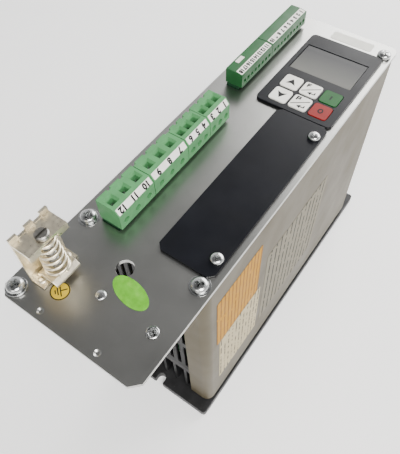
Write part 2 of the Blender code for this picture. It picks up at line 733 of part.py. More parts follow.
def keypad_board():
    board = bmesh.new()
    height = (KEYPAD_BOARD_HIGH - KEYPAD_BOARD, KEYPAD_BOARD_HIGH)
    x = (min(KEYS_X[0], LCD_X[0] - LCD_FRAME), max(KEYS_X[1], LCD_X[1] + LCD_FRAME))
    add_box(board, x, (KEYS_LOW, LCD_Y[1] + LCD_FRAME), height)
    piece = finish("keypad_board", board, BOARD_GREEN)
    switches = bmesh.new()
    for key in KEYS:
        x, y = around(key_place(*key["at"]), SWITCH_SIZE)
        add_box(switches, x, y, (KEYPAD_BOARD_HIGH - SEAT, SWITCH_HIGH))
    join(piece, helper("keypad_switches", switches))


def blank_screw_places():
    x = BLANK_X[1] - COVER_SCREW_INSET[0]
    return ((x, BLANK_Y[0] + COVER_SCREW_INSET[1]), (x, BLANK_Y[1] - COVER_SCREW_INSET[1]))


def blank_cover():
    bm = bmesh.new()
    add_plate(bm, BLANK_X, BLANK_Y, BEZEL_Z, COVER_PLATE_CORNER, 1)
    piece = finish("blank_cover", bm, BLACK_PLASTIC)
    holes = bmesh.new()
    for place in blank_screw_places():
        add_cylinder(holes, M3[2] + SHANK_GAP, place, (BEZEL_Z[0] - 1, BEZEL_Z[1] + 1))
    cut(piece, helper("blank_cover_holes", holes))


# Terminals


def place_plugs():
    """Each plug with its style, poles and the Y span that it takes, in order from the lower end."""
    placed = []
    y = BODY_LOW + POWER_ROW_RISE
    for style, row in ((WIDE_PLUG, POWER_PLUGS), (SLIM_PLUG, SIGNAL_PLUGS)):
        for name, poles, pitch, length in row:
            placed.append(dict(name=name, style=style, poles=poles, pitch=pitch, y=(y, y + length)))
            y += length + PLUG_SPACE
        y += SIGNAL_ROW_SPACE - PLUG_SPACE
    return placed


def plug_x(style):
    left = style["left"] - PLATE_SIDE
    return (left, left + style["width"])


def shroud_x(style):
    left, right = plug_x(style)
    return (left + SHROUD_INSET[0], right - SHROUD_INSET[1])


def pole_places(plug):
    """The Y of each pole, with the row of poles in the middle of the plug."""
    middle = (plug["y"][0] + plug["y"][1]) / 2
    first = middle - (plug["poles"] - 1) * plug["pitch"] / 2
    return [first + k * plug["pitch"] for k in range(plug["poles"])]


def plug_body(plug):
    """A plug that slides up out of its header: wire mouths, clamp screw holes and pin sockets."""
    style = plug["style"]
    left, right = plug_x(style)
    low, high = SHROUD_HIGH + GAP, DEPTH + style["height"]
    outline = (
        (left, low),
        (right, low),
        (right, high - style["drop"]),
        (right - style["face"], high),
        (left, high),
    )
    x = shroud_x(style)
    y = plug["y"]
    tongue_x = (x[0] + SHROUD_WALL + GAP, x[1] - SHROUD_WALL - GAP)
    origin = ((tongue_x[0] + tongue_x[1]) / 2, (y[0] + y[1]) / 2, low)
    body = prism(outline, y)
    coating = LIGHT_GREEN if style is WIDE_PLUG else DARK_GREEN
    piece = finish(plug["name"], body, coating, origin)
    tongue = bmesh.new()
    tongue_y = (y[0] + SHROUD_WALL + 2 * GAP, y[1] - SHROUD_WALL - 2 * GAP)
    add_box(tongue, tongue_x, tongue_y, (SHROUD_FLOOR + GAP, low + 1))
    join(piece, helper(plug["name"] + "_tongue", tongue, origin))
    holes = bmesh.new()
    wire = style["wire"]
    pin_x = (tongue_x[0] + tongue_x[1]) / 2
    socket = (SHROUD_FLOOR - 1, PIN_HIGH + GAP)
    for pole in pole_places(plug):
        add_box(holes, *around((pin_x, pole), SOCKET_SIZE), socket)
        if style is WIDE_PLUG:
            place = (left + style["wire_x"], pole)
            add_box(holes, *around(place, wire), (high - 5.5, high + 1))
            add_cross_cylinder(holes, wire / 2, (right - 4, right + 1), pole, low + 3.4)
        else:
            add_box(holes, (right - 4.5, right + 1), *side_mouth(pole, wire, low))
    cut(piece, helper(plug["name"] + "_holes", holes, origin))


def side_mouth(pole, wire, low):
    """Y and Z spans of a wire mouth in the side of a slim plug."""
    return (pole - wire / 2, pole + wire / 2), (low + 2.2, low + 2.2 + wire)


def header(plug):
    """An open-topped shroud on the control board, with one pin for each pole."""
    x, y = shroud_x(plug["style"]), plug["y"]
    bm = bmesh.new()
    add_box(bm, x, (y[0] + GAP / 2, y[1] - GAP / 2), (HEADER_LOW, SHROUD_HIGH))
    name = plug["name"].replace("_plug", "_header")
    piece = finish(name, bm, HEADER_BLACK)
    hollow = bmesh.new()
    wall = SHROUD_WALL
    inner_y = (y[0] + wall + GAP, y[1] - wall - GAP)
    add_box(hollow, (x[0] + wall, x[1] - wall), inner_y, (SHROUD_FLOOR, SHROUD_HIGH + 1))
    cut(piece, helper(name + "_hollow", hollow))
    pins = bmesh.new()
    for pole in pole_places(plug):
        place = ((x[0] + x[1]) / 2, pole)
        add_box(pins, *around(place, PIN_SIZE), (SHROUD_FLOOR - 1, PIN_HIGH))
    join(piece, helper(name + "_pins", pins))


# Boards


def standoff(name, place, z):
    bm = bmesh.new()
    add_cylinder(bm, STANDOFF_RADIUS, place, (z[0] + GAP, z[1] - GAP), 6)
    finish(name, bm, BRASS)


def board_plate(name, z):
    bm = bmesh.new()
    add_box(bm, BOARD_X, BOARD_Y, z)
    return finish(name, bm, BOARD_GREEN)


def add_board_part(bm, size, base, sunk=0.0):
    """A box on a board, from its left, right, rise, length and height."""
    left, right, rise, length, height = size
    y = (BOARD_Y[0] + rise, BOARD_Y[0] + rise + length)
    add_box(bm, (left, right), y, (base - sunk, base + height))


def boards():
    board_plate("power_board", (POWER_LOW, POWER_HIGH))
    control = board_plate("control_board", (CONTROL_LOW, CONTROL_HIGH))
    chips = bmesh.new()
    for size in (LOGIC_CHIP, MEMORY_CHIP):
        add_board_part(chips, size, CONTROL_HIGH, SEAT)
    join(control, helper("control_chips", chips))


def standoffs():
    """Spacers that carry the power board on the heat sink and the control board under the plate."""
    past_lip = COVER_END_LIP + STANDOFF_RADIUS + STANDOFF_SPACE / 2
    low, high = BODY_LOW + past_lip, BODY_HIGH - past_lip
    side = BOARD_X[1] - STANDOFF_INSET
    standoff("power_standoff_lower", (-side, low), (SINK_HIGH, POWER_LOW))
    standoff("power_standoff_upper", (side, high), (SINK_HIGH, POWER_LOW))
    right = SIDE - COVER_LIP - STANDOFF_RADIUS - STANDOFF_SPACE
    left = plug_x(WIDE_PLUG)[1] + STANDOFF_RADIUS + STANDOFF_SPACE
    for k, place in enumerate(((left, low), (right, low), (left, high), (right, high))):
        standoff(f"control_standoff_{k + 1}", place, (CONTROL_HIGH, PLATE_UNDER))


def power_parts():
    """The large parts on the power board, and the power module between it and the heat sink."""
    base = POWER_HIGH + GAP
    radius, height = CAPACITOR
    y = BOARD_Y[1] - CAPACITOR_DROP - radius
    x = radius + CAPACITOR_SPACE / 2
    for name, place in (("bus_capacitor_1", (-x, y)), ("bus_capacitor_2", (x, y))):
        bm = bmesh.new()
        add_cylinder(bm, radius, place, (base, base + height))
        finish(name, bm, CAPACITOR_SLEEVE)
    module = bmesh.new()
    half = MODULE_WIDTH / 2
    top = BOARD_Y[1] - CAPACITOR_DROP - MODULE_DROP
    add_box(module, (-half, half), (top - MODULE_LENGTH, top), (SINK_HIGH + GAP, POWER_LOW - GAP))
    finish("power_module", module, BLACK_PLASTIC)

    boxes = (
        ("filter_capacitor", FILTER_BOX, BOX_YELLOW),
        ("output_relay", RELAY_BOX, BLACK_PLASTIC),
        ("supply_transformer", TRANSFORMER_BOX, CAPACITOR_SLEEVE),
    )
    for name, size, coating in boxes:
        bm = bmesh.new()
        add_board_part(bm, size, base)
        finish(name, bm, coating)


def filter_choke():
    """A wound ring lying on the power board."""
    major, minor = CHOKE
    steps = [2 * math.pi * k / CHOKE_STEPS for k in range(CHOKE_STEPS, -1, -1)]
    ring = [(major + minor * math.cos(angle), minor * math.sin(angle)) for angle in steps]
    origin = (CHOKE_PLACE[0], BOARD_Y[0] + CHOKE_PLACE[1], POWER_HIGH + GAP + minor)
    turned("filter_choke", ring, WOUND_COPPER, origin)


def ribbon_cable():
    """A flat cable between the two boards, with a plug at each end."""
    low, high = POWER_HIGH + GAP, CONTROL_LOW - GAP
    width, thickness = RIBBON
    y = BOARD_Y[0] + RIBBON_RISE
    bm = bmesh.new()
    add_box(bm, (-width / 2, width / 2), (y - thickness / 2, y + thickness / 2), (low, high))
    ribbon = finish("board_ribbon_cable", bm, RIBBON_GREY)
    across, along, tall = RIBBON_PLUG
    for end, z in (("lower", (low, low + tall)), ("upper", (high - tall, high))):
        plug = bmesh.new()
        add_box(plug, (-across / 2, across / 2), (y - along / 2, y + along / 2), z)
        join(ribbon, helper("ribbon_plug_" + end, plug))


# Shield clamp


def clamp_rivet_places():
    """The bracket is riveted through the middle of each foot."""
    length, depth = CLAMP_FOOT
    x = CLAMP_X + (depth + CLAMP_SHEET) / 2
    reach = (CLAMP_LENGTH - length) / 2
    return ((x, CLAMP_Y - reach), (x, CLAMP_Y + reach))


def clamp_bracket():
    """A C of bent sheet, open to the right, with teeth on its spine and lips on its top."""
    t, x, z = CLAMP_SHEET, CLAMP_X, CLAMP_LOW
    front, foot = x + CLAMP_REACH, x + CLAMP_FOOT[1]
    ends = (CLAMP_Y - CLAMP_LENGTH / 2, CLAMP_Y + CLAMP_LENGTH / 2)
    outline = (
        (x, z),
        (foot, z),
        (foot, z + t),
        (x + t, z + t),
        (x + t, CLAMP_TOP - t),
        (front, CLAMP_TOP - t),
        (front, CLAMP_TOP),
        (x + t, CLAMP_TOP),
        (x + t, CLAMP_TOP + CLAMP_TOOTH),
        (x, CLAMP_TOP + CLAMP_TOOTH),
    )
    piece = finish("clamp_bracket", prism(outline, ends), TINNED)
    lips = bmesh.new()
    length, depth = CLAMP_LIP
    for y in ((ends[0], ends[0] + length), (ends[1] - length, ends[1])):
        add_box(lips, (front - t, front), y, (CLAMP_TOP - depth, CLAMP_TOP - 0.3))
    join(piece, helper("clamp_lips", lips))
    gaps = bmesh.new()
    tooth = CLAMP_LENGTH / 5
    for k in (1, 3):
        y = (ends[0] + k * tooth, ends[0] + (k + 1) * tooth)
        add_box(gaps, (x - 1, x + t + 0.5), y, (CLAMP_TOP + 0.2, CLAMP_TOP + CLAMP_TOOTH + 1))
    over = (CLAMP_TOP - t - 1, CLAMP_TOP + 1)
    add_cylinder(gaps, CLAMP_SCREW[2] + SHANK_GAP, SCREW_PLACE, over)
    under = (CLAMP_LOW - 1, CLAMP_LOW + t + 1)
    between = (ends[0] + CLAMP_FOOT[0], ends[1] - CLAMP_FOOT[0])
    add_box(gaps, (x + t, foot + 1), between, (under[0], CLAMP_LOW + t + 0.5))
    for place in clamp_rivet_places():
        add_cylinder(gaps, CLAMP_RIVET, place, under, 12)
    cut(piece, helper("clamp_gaps", gaps))


def clamp_saddle():
    """The pressure piece: a sheet with its two long edges turned down over the cable."""
    x, y = SCREW_PLACE
    half, wing = SADDLE_WIDTH / 2, SADDLE_LENGTH / 2
    low_x = max(x - half, CLAMP_X + CLAMP_SHEET + GAP)
    t, z = CLAMP_SHEET, SADDLE_LOW
    slant = SADDLE_WING + t - 0.6
    outline = (
        (low_x, z - SADDLE_WING),
        (low_x + t, z - SADDLE_WING),
        (low_x + slant, z),
        (x + half - slant, z),
        (x + half - t, z - SADDLE_WING),
        (x + half, z - SADDLE_WING),
        (x + half, z - SADDLE_WING + t),
        (x + half - slant, z + t),
        (low_x + slant, z + t),
        (low_x, z - SADDLE_WING + t),
    )
    finish("clamp_saddle", prism(outline, (y - wing, y + wing)), TINNED, (x, y, z))


def clamp_screw():
    """A slotted screw that carries the saddle on its tip and turns in the top of the bracket."""
    head, height, thread = CLAMP_SCREW
    tip = SADDLE_HIGH + GAP
    top = CLAMP_TOP + GAP
    profile = (
        (0, top + height - tip),
        (head - 0.4, top + height - tip),
        (head, top + height - 0.4 - tip),
        (head, top - tip),
        (thread, top - tip),
        (thread, 0),
        (0, 0),
    )
    piece = turned("clamp_screw", profile, ZINC, (*SCREW_PLACE, tip), 24)
    slot = bmesh.new()
    x, y = SCREW_PLACE
    half = CLAMP_SLOT / 2
    depth = (top + height - 2 * CLAMP_SLOT, top + height + 1)
    add_box(slot, (x - half, x + half), (y - head - 1, y + head + 1), depth)
    cut(piece, helper("clamp_screw_slot", slot))


def clamp_spring():
    """A compression spring, wider at the saddle than under the bracket."""
    low, high = SADDLE_HIGH + GAP + SPRING_WIRE, CLAMP_TOP - CLAMP_SHEET - GAP - SPRING_WIRE
    count = round(SPRING_TURNS * SPRING_POINTS) + 1
    curve = bpy.data.curves.new("clamp_spring", "CURVE")
    curve.dimensions = "3D"
    curve.bevel_depth = SPRING_WIRE * MM
    curve.bevel_resolution = 2
    curve.use_fill_caps = True
    wire = curve.splines.new("POLY")
    wire.points.add(count - 1)
    for k, point in enumerate(wire.points):
        part = k / (count - 1)
        angle = 2 * math.pi * SPRING_TURNS * part
        radius = SPRING_RADII[1] + (SPRING_RADII[0] - SPRING_RADII[1]) * part
        place = (radius * math.cos(angle), radius * math.sin(angle), (high - low) * part)
        point.co = (*(Vector(place) * MM), 1)
    curve.materials.append(coat("clamp_spring", ZINC))
    piece = bpy.data.objects.new("clamp_spring", curve)
    piece.location = Vector((*SCREW_PLACE, low)) * MM
    DRIVE.objects.link(piece)


clear_scene()
DRIVE = new_collection("variable_frequency_drive")
CUTTERS = new_collection("cutters")
mounting_plate()
heat_sink()
side_cover("left_cover", -1)
side_cover("right_cover", 1)
end_grille("lower_end_grille", INNER_LOW, 1)
end_grille("upper_end_grille", INNER_HIGH, -1)
front_plate()
fasteners()
threaded_insert()
pressed_stud()
keypad_bezel()
display()
for each in KEYS:
    push_key(each["name"], key_place(*each["at"]), each["coating"])
keypad_board()
blank_cover()
for each in place_plugs():
    header(each)
    plug_body(each)
boards()
standoffs()
power_parts()
filter_choke()
ribbon_cable()
clamp_bracket()
clamp_saddle()
clamp_screw()
clamp_spring()
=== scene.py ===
import json
import math

import bmesh
import bpy
from mathutils import Matrix, Vector

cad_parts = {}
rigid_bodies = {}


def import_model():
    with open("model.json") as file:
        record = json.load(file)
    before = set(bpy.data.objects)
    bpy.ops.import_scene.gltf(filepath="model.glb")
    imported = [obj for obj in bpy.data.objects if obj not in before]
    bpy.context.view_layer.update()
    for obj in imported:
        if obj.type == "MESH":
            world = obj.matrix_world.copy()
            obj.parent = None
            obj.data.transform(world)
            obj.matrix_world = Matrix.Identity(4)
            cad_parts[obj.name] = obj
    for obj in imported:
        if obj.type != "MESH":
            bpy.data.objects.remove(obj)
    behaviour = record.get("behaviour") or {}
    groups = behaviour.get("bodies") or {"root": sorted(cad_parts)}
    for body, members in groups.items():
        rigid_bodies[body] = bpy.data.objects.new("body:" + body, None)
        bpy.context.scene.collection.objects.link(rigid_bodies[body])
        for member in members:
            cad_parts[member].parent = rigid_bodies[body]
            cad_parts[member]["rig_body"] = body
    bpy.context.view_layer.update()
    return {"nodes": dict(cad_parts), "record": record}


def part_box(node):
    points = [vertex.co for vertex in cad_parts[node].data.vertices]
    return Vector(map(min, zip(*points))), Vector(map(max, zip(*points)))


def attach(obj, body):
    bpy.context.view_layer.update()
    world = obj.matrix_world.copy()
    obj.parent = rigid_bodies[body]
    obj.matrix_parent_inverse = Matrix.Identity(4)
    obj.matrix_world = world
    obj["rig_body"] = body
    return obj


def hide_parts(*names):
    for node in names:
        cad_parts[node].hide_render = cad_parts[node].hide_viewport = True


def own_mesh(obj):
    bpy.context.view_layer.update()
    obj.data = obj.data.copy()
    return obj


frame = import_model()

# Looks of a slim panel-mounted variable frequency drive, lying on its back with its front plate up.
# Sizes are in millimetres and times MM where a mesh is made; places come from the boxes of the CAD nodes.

MM = 0.001
MERGE = 0.002 * MM
INK = 0.03  # thickness of printed marks
FILM = 0.12  # thickness of stickers
LIFT = 0.01  # stickers and strips start this far off their face, so the two never share a plane
SHARP = 32  # edges that turn by more than this many degrees are broken

# Facets of the terminal plugs that carry the number strips: run across, drop, strip width, digit height
WIDE_FACET = dict(run=2.3, drop=3.0, strip=3.3, digit=2.9)
SLIM_FACET = dict(run=4.6, drop=0.8, strip=3.6, digit=2.2)
WIDE_PLUGS = dict(motor=(3, 7.62), mains=(3, 7.62), relay=(3, 5.08), sensor=(3, 5.08))
SLIM_PLUGS = dict(output=(8, 3.5), input=(10, 3.5))
WELL_INSET = 5.4  # left side of a wide plug to the middle of its screw wells
WELL_DEPTH = 5.5  # top of a wide plug to the foot of its screws
MOUTH_RISE = 3.45  # top of a slim header to the middle of its plug's wire mouths
MOUTH_DEPTH = 4.5  # right side of a slim plug to the foot of the screws in its mouths


# ---------------------------------------------------------------- materials


class Finish:
    """A Principled material and the pattern nodes that feed it, all on Object coordinates."""

    def __init__(self, name, colour, roughness, metallic=0.0, **sockets):
        self.material = bpy.data.materials.new(name)
        self.material.use_nodes = True
        self.tree = self.material.node_tree
        self.shader = self.tree.nodes["Principled BSDF"]
        self.shader.inputs["Base Color"].default_value = (*colour, 1)
        self.shader.inputs["Roughness"].default_value = roughness
        self.shader.inputs["Metallic"].default_value = metallic
        for socket, value in sockets.items():
            self.shader.inputs[socket.replace("_", " ")].default_value = value
        self.colour = colour
        self.roughness = roughness
        self.place = self.add("TexCoord").outputs["Object"]
        self.height = None

    def add(self, kind, inputs=None, **settings):
        node = self.tree.nodes.new("ShaderNode" + kind)
        for setting, value in settings.items():
            setattr(node, setting, value)
        for socket, value in (inputs or {}).items():
            if isinstance(value, bpy.types.NodeSocket):
                self.tree.links.new(value, node.inputs[socket])
            else:
                node.inputs[socket].default_value = value
        return node

    def feed(self, socket, value):
        self.tree.links.new(value, self.shader.inputs[socket])

    def stretched(self, scale, turn=(0, 0, 0)):
        """Object coordinates scaled on each axis, for brushing and scratches."""
        inputs = {"Vector": self.place, "Scale": scale, "Rotation": turn}
        return self.add("Mapping", inputs).outputs["Vector"]

    def noise(self, size, detail=3.0, place=None):
        """Clouds with a grain of about the given size in millimetres."""
        inputs = {"Vector": place or self.place, "Scale": 1 / (size * MM)}
        return self.add("TexNoise", {**inputs, "Detail": detail, "Roughness": 0.55}).outputs["Fac"]

    def cells(self, size):
        """Flat-coloured cells about the given size in millimetres."""
        inputs = {"Vector": self.place, "Scale": 1 / (size * MM)}
        return self.add("TexVoronoi", inputs).outputs["Color"]

    def ranged(self, value, low, high, start=0.3, end=0.7):
        """A value from start to end turned into one from low to high, and held there."""
        inputs = {"Value": value, "From Min": start, "From Max": end, "To Min": low, "To Max": high}
        return self.add("MapRange", inputs, clamp=True).outputs["Result"]

    def math(self, operation, a, b=0.0):
        node = self.add("Math", operation=operation)
        for socket, value in zip(node.inputs, (a, b)):
            if isinstance(value, bpy.types.NodeSocket):
                self.tree.links.new(value, socket)
            else:
                socket.default_value = value
        return node.outputs[0]

    def mix(self, factor, first, second):
        """A colour between two, each a colour or a socket."""
        node = self.add("Mix", data_type="RGBA")
        pairs = ((node.inputs["Factor"], factor), (node.inputs[6], first), (node.inputs[7], second))
        for socket, value in pairs:
            if isinstance(value, bpy.types.NodeSocket):
                self.tree.links.new(value, socket)
            else:
                socket.default_value = value if isinstance(value, float) else (*value, 1)
        return node.outputs[2]

    def tone(self, size, dark, light=1.0):
        """Colour the surface between a darker and a lighter shade of its own colour."""
        shades = [[min(1.0, part * share) for part in self.colour] for share in (dark, light)]
        factor = self.ranged(self.noise(size, 4.0), 0.0, 1.0)
        self.colour_socket = self.mix(factor, *shades)
        self.feed("Base Color", self.colour_socket)
        return self

    def over(self, factor, colour):
        """Lay another colour over the present one."""
        self.colour_socket = self.mix(factor, self.colour_socket, colour)
        self.feed("Base Color", self.colour_socket)
        return self

    def rough(self, size, spread):
        """Let the roughness wander by a spread either way."""
        low, high = max(0.02, self.roughness - spread), self.roughness + spread
        self.feed("Roughness", self.ranged(self.noise(size), low, high))
        return self

    def bump(self, value, strength, depth):
        """Add a relief of a depth in millimetres."""
        inputs = {"Height": value, "Strength": strength, "Distance": depth * MM}
        if self.height:
            inputs["Normal"] = self.height
        self.height = self.add("Bump", inputs).outputs["Normal"]
        self.feed("Normal", self.height)
        return self


def zinc_sheet():
    """Zinc-coated sheet: soft clouds, faint crystals, and fine rubbing marks both ways."""
    f = Finish("zinc_sheet", (0.44, 0.44, 0.425), 0.30, 1.0)
    f.tone(60, 0.86, 1.08)
    crystals = f.add("SeparateColor", {"Color": f.cells(5)}).outputs[0]
    f.over(f.ranged(crystals, 0.0, 0.06, 0.2, 0.9), (0.62, 0.62, 0.61))
    marks = f.noise(0.5, 4.0, f.stretched((1.0, 0.02, 1.0), (0, 0, 0.1)))
    cross = f.noise(0.7, 4.0, f.stretched((0.03, 1.0, 1.0), (0, 0, -0.2)))
    smudge = f.noise(30, 2.0)
    worn = f.math("ADD", f.ranged(smudge, 0.0, 0.06, 0.2, 0.8), f.ranged(marks, 0.0, 0.03, 0.45, 0.75))
    f.feed("Roughness", f.math("ADD", worn, 0.27))
    f.bump(marks, 0.03, 0.01).bump(cross, 0.025, 0.01).bump(f.noise(45, 2.0), 0.25, 0.4)
    return f.material


def cover_sheet():
    """Warm grey coated steel with a faint upright grain and slow waves in the sheet. Part of its dark
    warm tint is a painted reflection of warm surroundings on the side.
    """
    # the warm beige base colour is partly painted reflection of warm surroundings, not only the sheet's
    # own colour
    f = Finish("cover_sheet", (0.079, 0.065, 0.037), 0.45, 0.35, Specular_IOR_Level=0.15)
    f.tone(70, 0.88, 1.06)
    grain = f.noise(0.4, 4.0, f.stretched((1.0, 1.0, 0.03)))
    f.over(f.ranged(grain, 0.0, 0.10, 0.5, 0.8), (0.128, 0.108, 0.070))
    f.rough(30, 0.06)
    f.bump(grain, 0.08, 0.02).bump(f.noise(60, 1.0), 0.4, 0.6)
    return f.material


def black_metal(name, shade, roughness):
    """Black coated or anodised metal with dust in its pores and paler worn spots."""
    f = Finish(name, (shade, shade, shade * 1.08), roughness, 0.35)
    f.tone(9, 0.7, 1.5)
    f.over(f.ranged(f.noise(1.6, 6.0), 0.0, 0.25, 0.62, 0.75), (0.12, 0.115, 0.105))
    f.rough(6, 0.08)
    f.bump(f.noise(0.35, 3.0), 0.25, 0.06)
    return f.material


def moulded(name, colour, roughness=0.42):
    """Moulded plastic: uneven tint, a spark-eroded grain and duller rubbed places."""
    f = Finish(name, colour, roughness, Specular_IOR_Level=0.22)
    f.tone(7, 0.88, 1.1)
    f.over(f.ranged(f.noise(2.2, 5.0), 0.0, 0.12, 0.6, 0.75), [min(1.0, c * 1.25 + 0.04) for c in colour])
    f.rough(4, 0.07)
    f.bump(f.noise(0.3), 0.16, 0.04)
    return f.material


def film(name, colour, roughness):
    """Printed film: smooth with an orange-peel skin, fine dust and faint wiping marks."""
    f = Finish(name, colour, roughness, Specular_IOR_Level=0.16)
    f.tone(14, 0.85, 1.2)
    f.over(f.ranged(f.noise(0.5, 6.0), 0.0, 0.25, 0.68, 0.8), (0.05, 0.05, 0.05))
    f.rough(18, 0.06)
    f.bump(f.noise(1.1, 2.0), 0.06, 0.03)
    return f.material


def bright_metal(name, colour, roughness, streaks=(1.0, 1.0, 0.1), tarnish=0.28):
    """Plated metal with tool marks and a little tarnish."""
    f = Finish(name, colour, roughness, 1.0)
    f.tone(3, 1 - tarnish, 1.12)
    f.over(f.ranged(f.noise(1.2, 5.0), 0.0, 0.7 * tarnish, 0.62, 0.78), [c * 0.6 for c in colour])
    f.rough(1.5, 0.07)
    f.bump(f.noise(0.25, 3.0, f.stretched(streaks)), 0.2, 0.03)
    return f.material


def display_glass():
    """An unlit grey display behind a glossy window, darker towards its upper end."""
    low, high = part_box("display_window")
    f = Finish("display_glass", (0.088, 0.089, 0.079), 0.4, Specular_IOR_Level=0.2, Coat_Weight=0.1)
    f.tone(12, 0.94, 1.05)
    split = f.add("SeparateXYZ", {"Vector": f.place})
    fade = f.ranged(split.outputs["Y"], 0.0, 1.0, low.y + 1 * MM, high.y - 4 * MM)
    f.over(fade, (0.006, 0.0065, 0.009))
    dot, line = 0.25 * MM, 0.04 * MM
    columns = f.math("PINGPONG", split.outputs["X"], dot)
    rows = f.math("PINGPONG", split.outputs["Y"], dot)
    grid = f.math("MINIMUM", columns, rows)
    f.over(f.ranged(grid, 0.12, 0.0, 0.0, line), (0.05, 0.05, 0.05))
    return f.material


def paper(name, colour, grain=0.4):
    f = Finish(name, colour, 0.55, Specular_IOR_Level=0.15)
    f.tone(5, 0.93, 1.03)
    f.rough(6, 0.08)
    f.bump(f.noise(grain, 3.0), 0.12, 0.02)
    return f.material


def board_laminate():
    """Green solder mask with tracks as a woven pattern of paler lines and tinned dots."""
    f = Finish("board_laminate", (0.02, 0.12, 0.05), 0.35)
    f.tone(10, 0.8, 1.2)
    tracks = f.add("TexBrick", {"Vector": f.place, "Scale": 120.0, "Mortar Size": 0.02}).outputs["Fac"]
    f.over(f.ranged(tracks, 0.0, 0.7, 0.4, 0.6), (0.05, 0.26, 0.10))
    dots = f.add("TexVoronoi", {"Vector": f.place, "Scale": 260.0}).outputs["Distance"]
    f.over(f.ranged(dots, 0.8, 0.0, 0.1, 0.2), (0.55, 0.55, 0.5))
    f.rough(5, 0.06)
    f.bump(tracks, 0.3, 0.05)
    return f.material


def winding():
    f = Finish("copper_winding", (0.55, 0.24, 0.09), 0.3, 0.8)
    f.tone(3, 0.7, 1.1)
    turns = f.add("TexWave", {"Vector": f.place, "Scale": 260.0, "Distortion": 1.5}).outputs["Fac"]
    f.rough(2, 0.06)
    f.bump(turns, 0.8, 0.4)
    return f.material


def stage_floor():
    f = Finish("stage_floor", (0.93, 0.93, 0.93), 0.7, Emission_Color=(1, 1, 1, 1), Emission_Strength=0.4)
    f.tone(400, 0.985, 1.0)
    f.bump(f.noise(3, 2.0), 0.02, 0.02)
    return f.material


MATERIALS = dict(
    galvanised_plate=zinc_sheet(),
    cover_sheet=cover_sheet(),
    black_aluminium=black_metal("black_anodised_fins", 0.013, 0.5),
    black_base=black_metal("black_coated_base", 0.014, 0.5),
    black_plastic=film("black_moulding", (0.006, 0.006, 0.0065), 0.5),
    keypad_film=film("black_film", (0.0055, 0.006, 0.0085), 0.36),
    zinc_screws=bright_metal("bright_zinc", (0.56, 0.57, 0.57), 0.22),
    tinned_clamp=bright_metal("tinned_sheet", (0.86, 0.78, 0.61), 0.33, (0.1, 1.0, 1.0), 0.12),
    light_green_plastic=moulded("light_green_moulding", (0.080, 0.262, 0.102), 0.42),
    dark_green_plastic=moulded("dark_green_moulding", (0.014, 0.090, 0.026), 0.38),
    header_plastic=moulded("header_moulding", (0.010, 0.045, 0.02), 0.45),
    white_keys=moulded("white_key", (0.86, 0.85, 0.80), 0.42),
    green_key=moulded("green_key", (0.006, 0.080, 0.014), 0.46),
    red_key=moulded("red_key", (0.21, 0.007, 0.006), 0.46),
    display=display_glass(),
    circuit_board=board_laminate(),
    brass=bright_metal("turned_brass", (0.72, 0.52, 0.22), 0.28),
    dark_sleeve=moulded("dark_sleeve", (0.03, 0.045, 0.09), 0.35),
    wound_copper=winding(),
    yellow_case=moulded("yellow_case", (0.72, 0.55, 0.08), 0.45),
    ribbon=moulded("ribbon_jacket", (0.40, 0.40, 0.41), 0.5),
)
PRINT_BLACK = paper("printing_ink", (0.012, 0.012, 0.013), 0.2)
STRIP_WHITE = paper("marker_strip", (0.84, 0.83, 0.78))


# ---------------------------------------------------------------- tools for making pieces


def weighed(mesh):
    """The mesh with normals that keep its large faces flat and its broken edges round."""
    holder = bpy.data.objects.new("holder", mesh)
    bpy.context.scene.collection.objects.link(holder)
    step = holder.modifiers.new("normals", "WEIGHTED_NORMAL")
    step.weight = 100
    step.keep_sharp = True
    result = bpy.data.meshes.new_from_object(holder.evaluated_get(bpy.context.evaluated_depsgraph_get()))
    bpy.data.objects.remove(holder)
    bpy.data.meshes.remove(mesh)
    return result


def make_piece(name, bm, slot, body="drive", replaces=(), material=None, angle=38):
    """A finished piece: smooth where round, on its body, with its slot's finish."""
    mesh = bpy.data.meshes.new("shape")
    bm.to_mesh(mesh)
    bm.free()
    mesh.shade_smooth()
    mesh.set_sharp_from_angle(angle=math.radians(angle))
    mesh = weighed(mesh)
    mesh.name = name
    mesh.materials.clear()
    mesh.materials.append(material or MATERIALS[slot])
    piece = bpy.data.objects.new(name, mesh)
    bpy.context.scene.collection.objects.link(piece)
    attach(piece, body)
    if replaces:
        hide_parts(*replaces)
    return piece


def place_of(node):
    """Middle of a CAD node across X and Y, with its lowest and highest Z, in millimetres."""
    low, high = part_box(node)
    return (low.x + high.x) / 2 / MM, (low.y + high.y) / 2 / MM, low.z / MM, high.z / MM


def spans(node):
    """X, Y and Z spans of a CAD node in millimetres."""
    low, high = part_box(node)
    return [(a / MM, b / MM) for a, b in zip(low, high)]


def cad_copy(node):
    """A bmesh of a CAD node, its loose triangles joined back into flat faces."""
    bm = bmesh.new()
    bm.from_mesh(frame["nodes"][node].data)
    bmesh.ops.remove_doubles(bm, verts=bm.verts, dist=MERGE)
    bmesh.ops.dissolve_limit(bm, angle_limit=math.radians(0.6), verts=bm.verts, edges=bm.edges)
    return bm


def soften(bm, width, segments=2):
    """Break the sharp edges, as a press, a tumbler or a mould leaves them."""
    bm.normal_update()
    sharp = [e for e in bm.edges if len(e.link_faces) == 2 and e.calc_face_angle(0) > math.radians(SHARP)]
    bmesh.ops.bevel(
        bm, geom=sharp, offset=width * MM, offset_type="OFFSET", affect="EDGES",
        segments=segments, profile=0.5, material=-1, clamp_overlap=True,
    )
    return bm


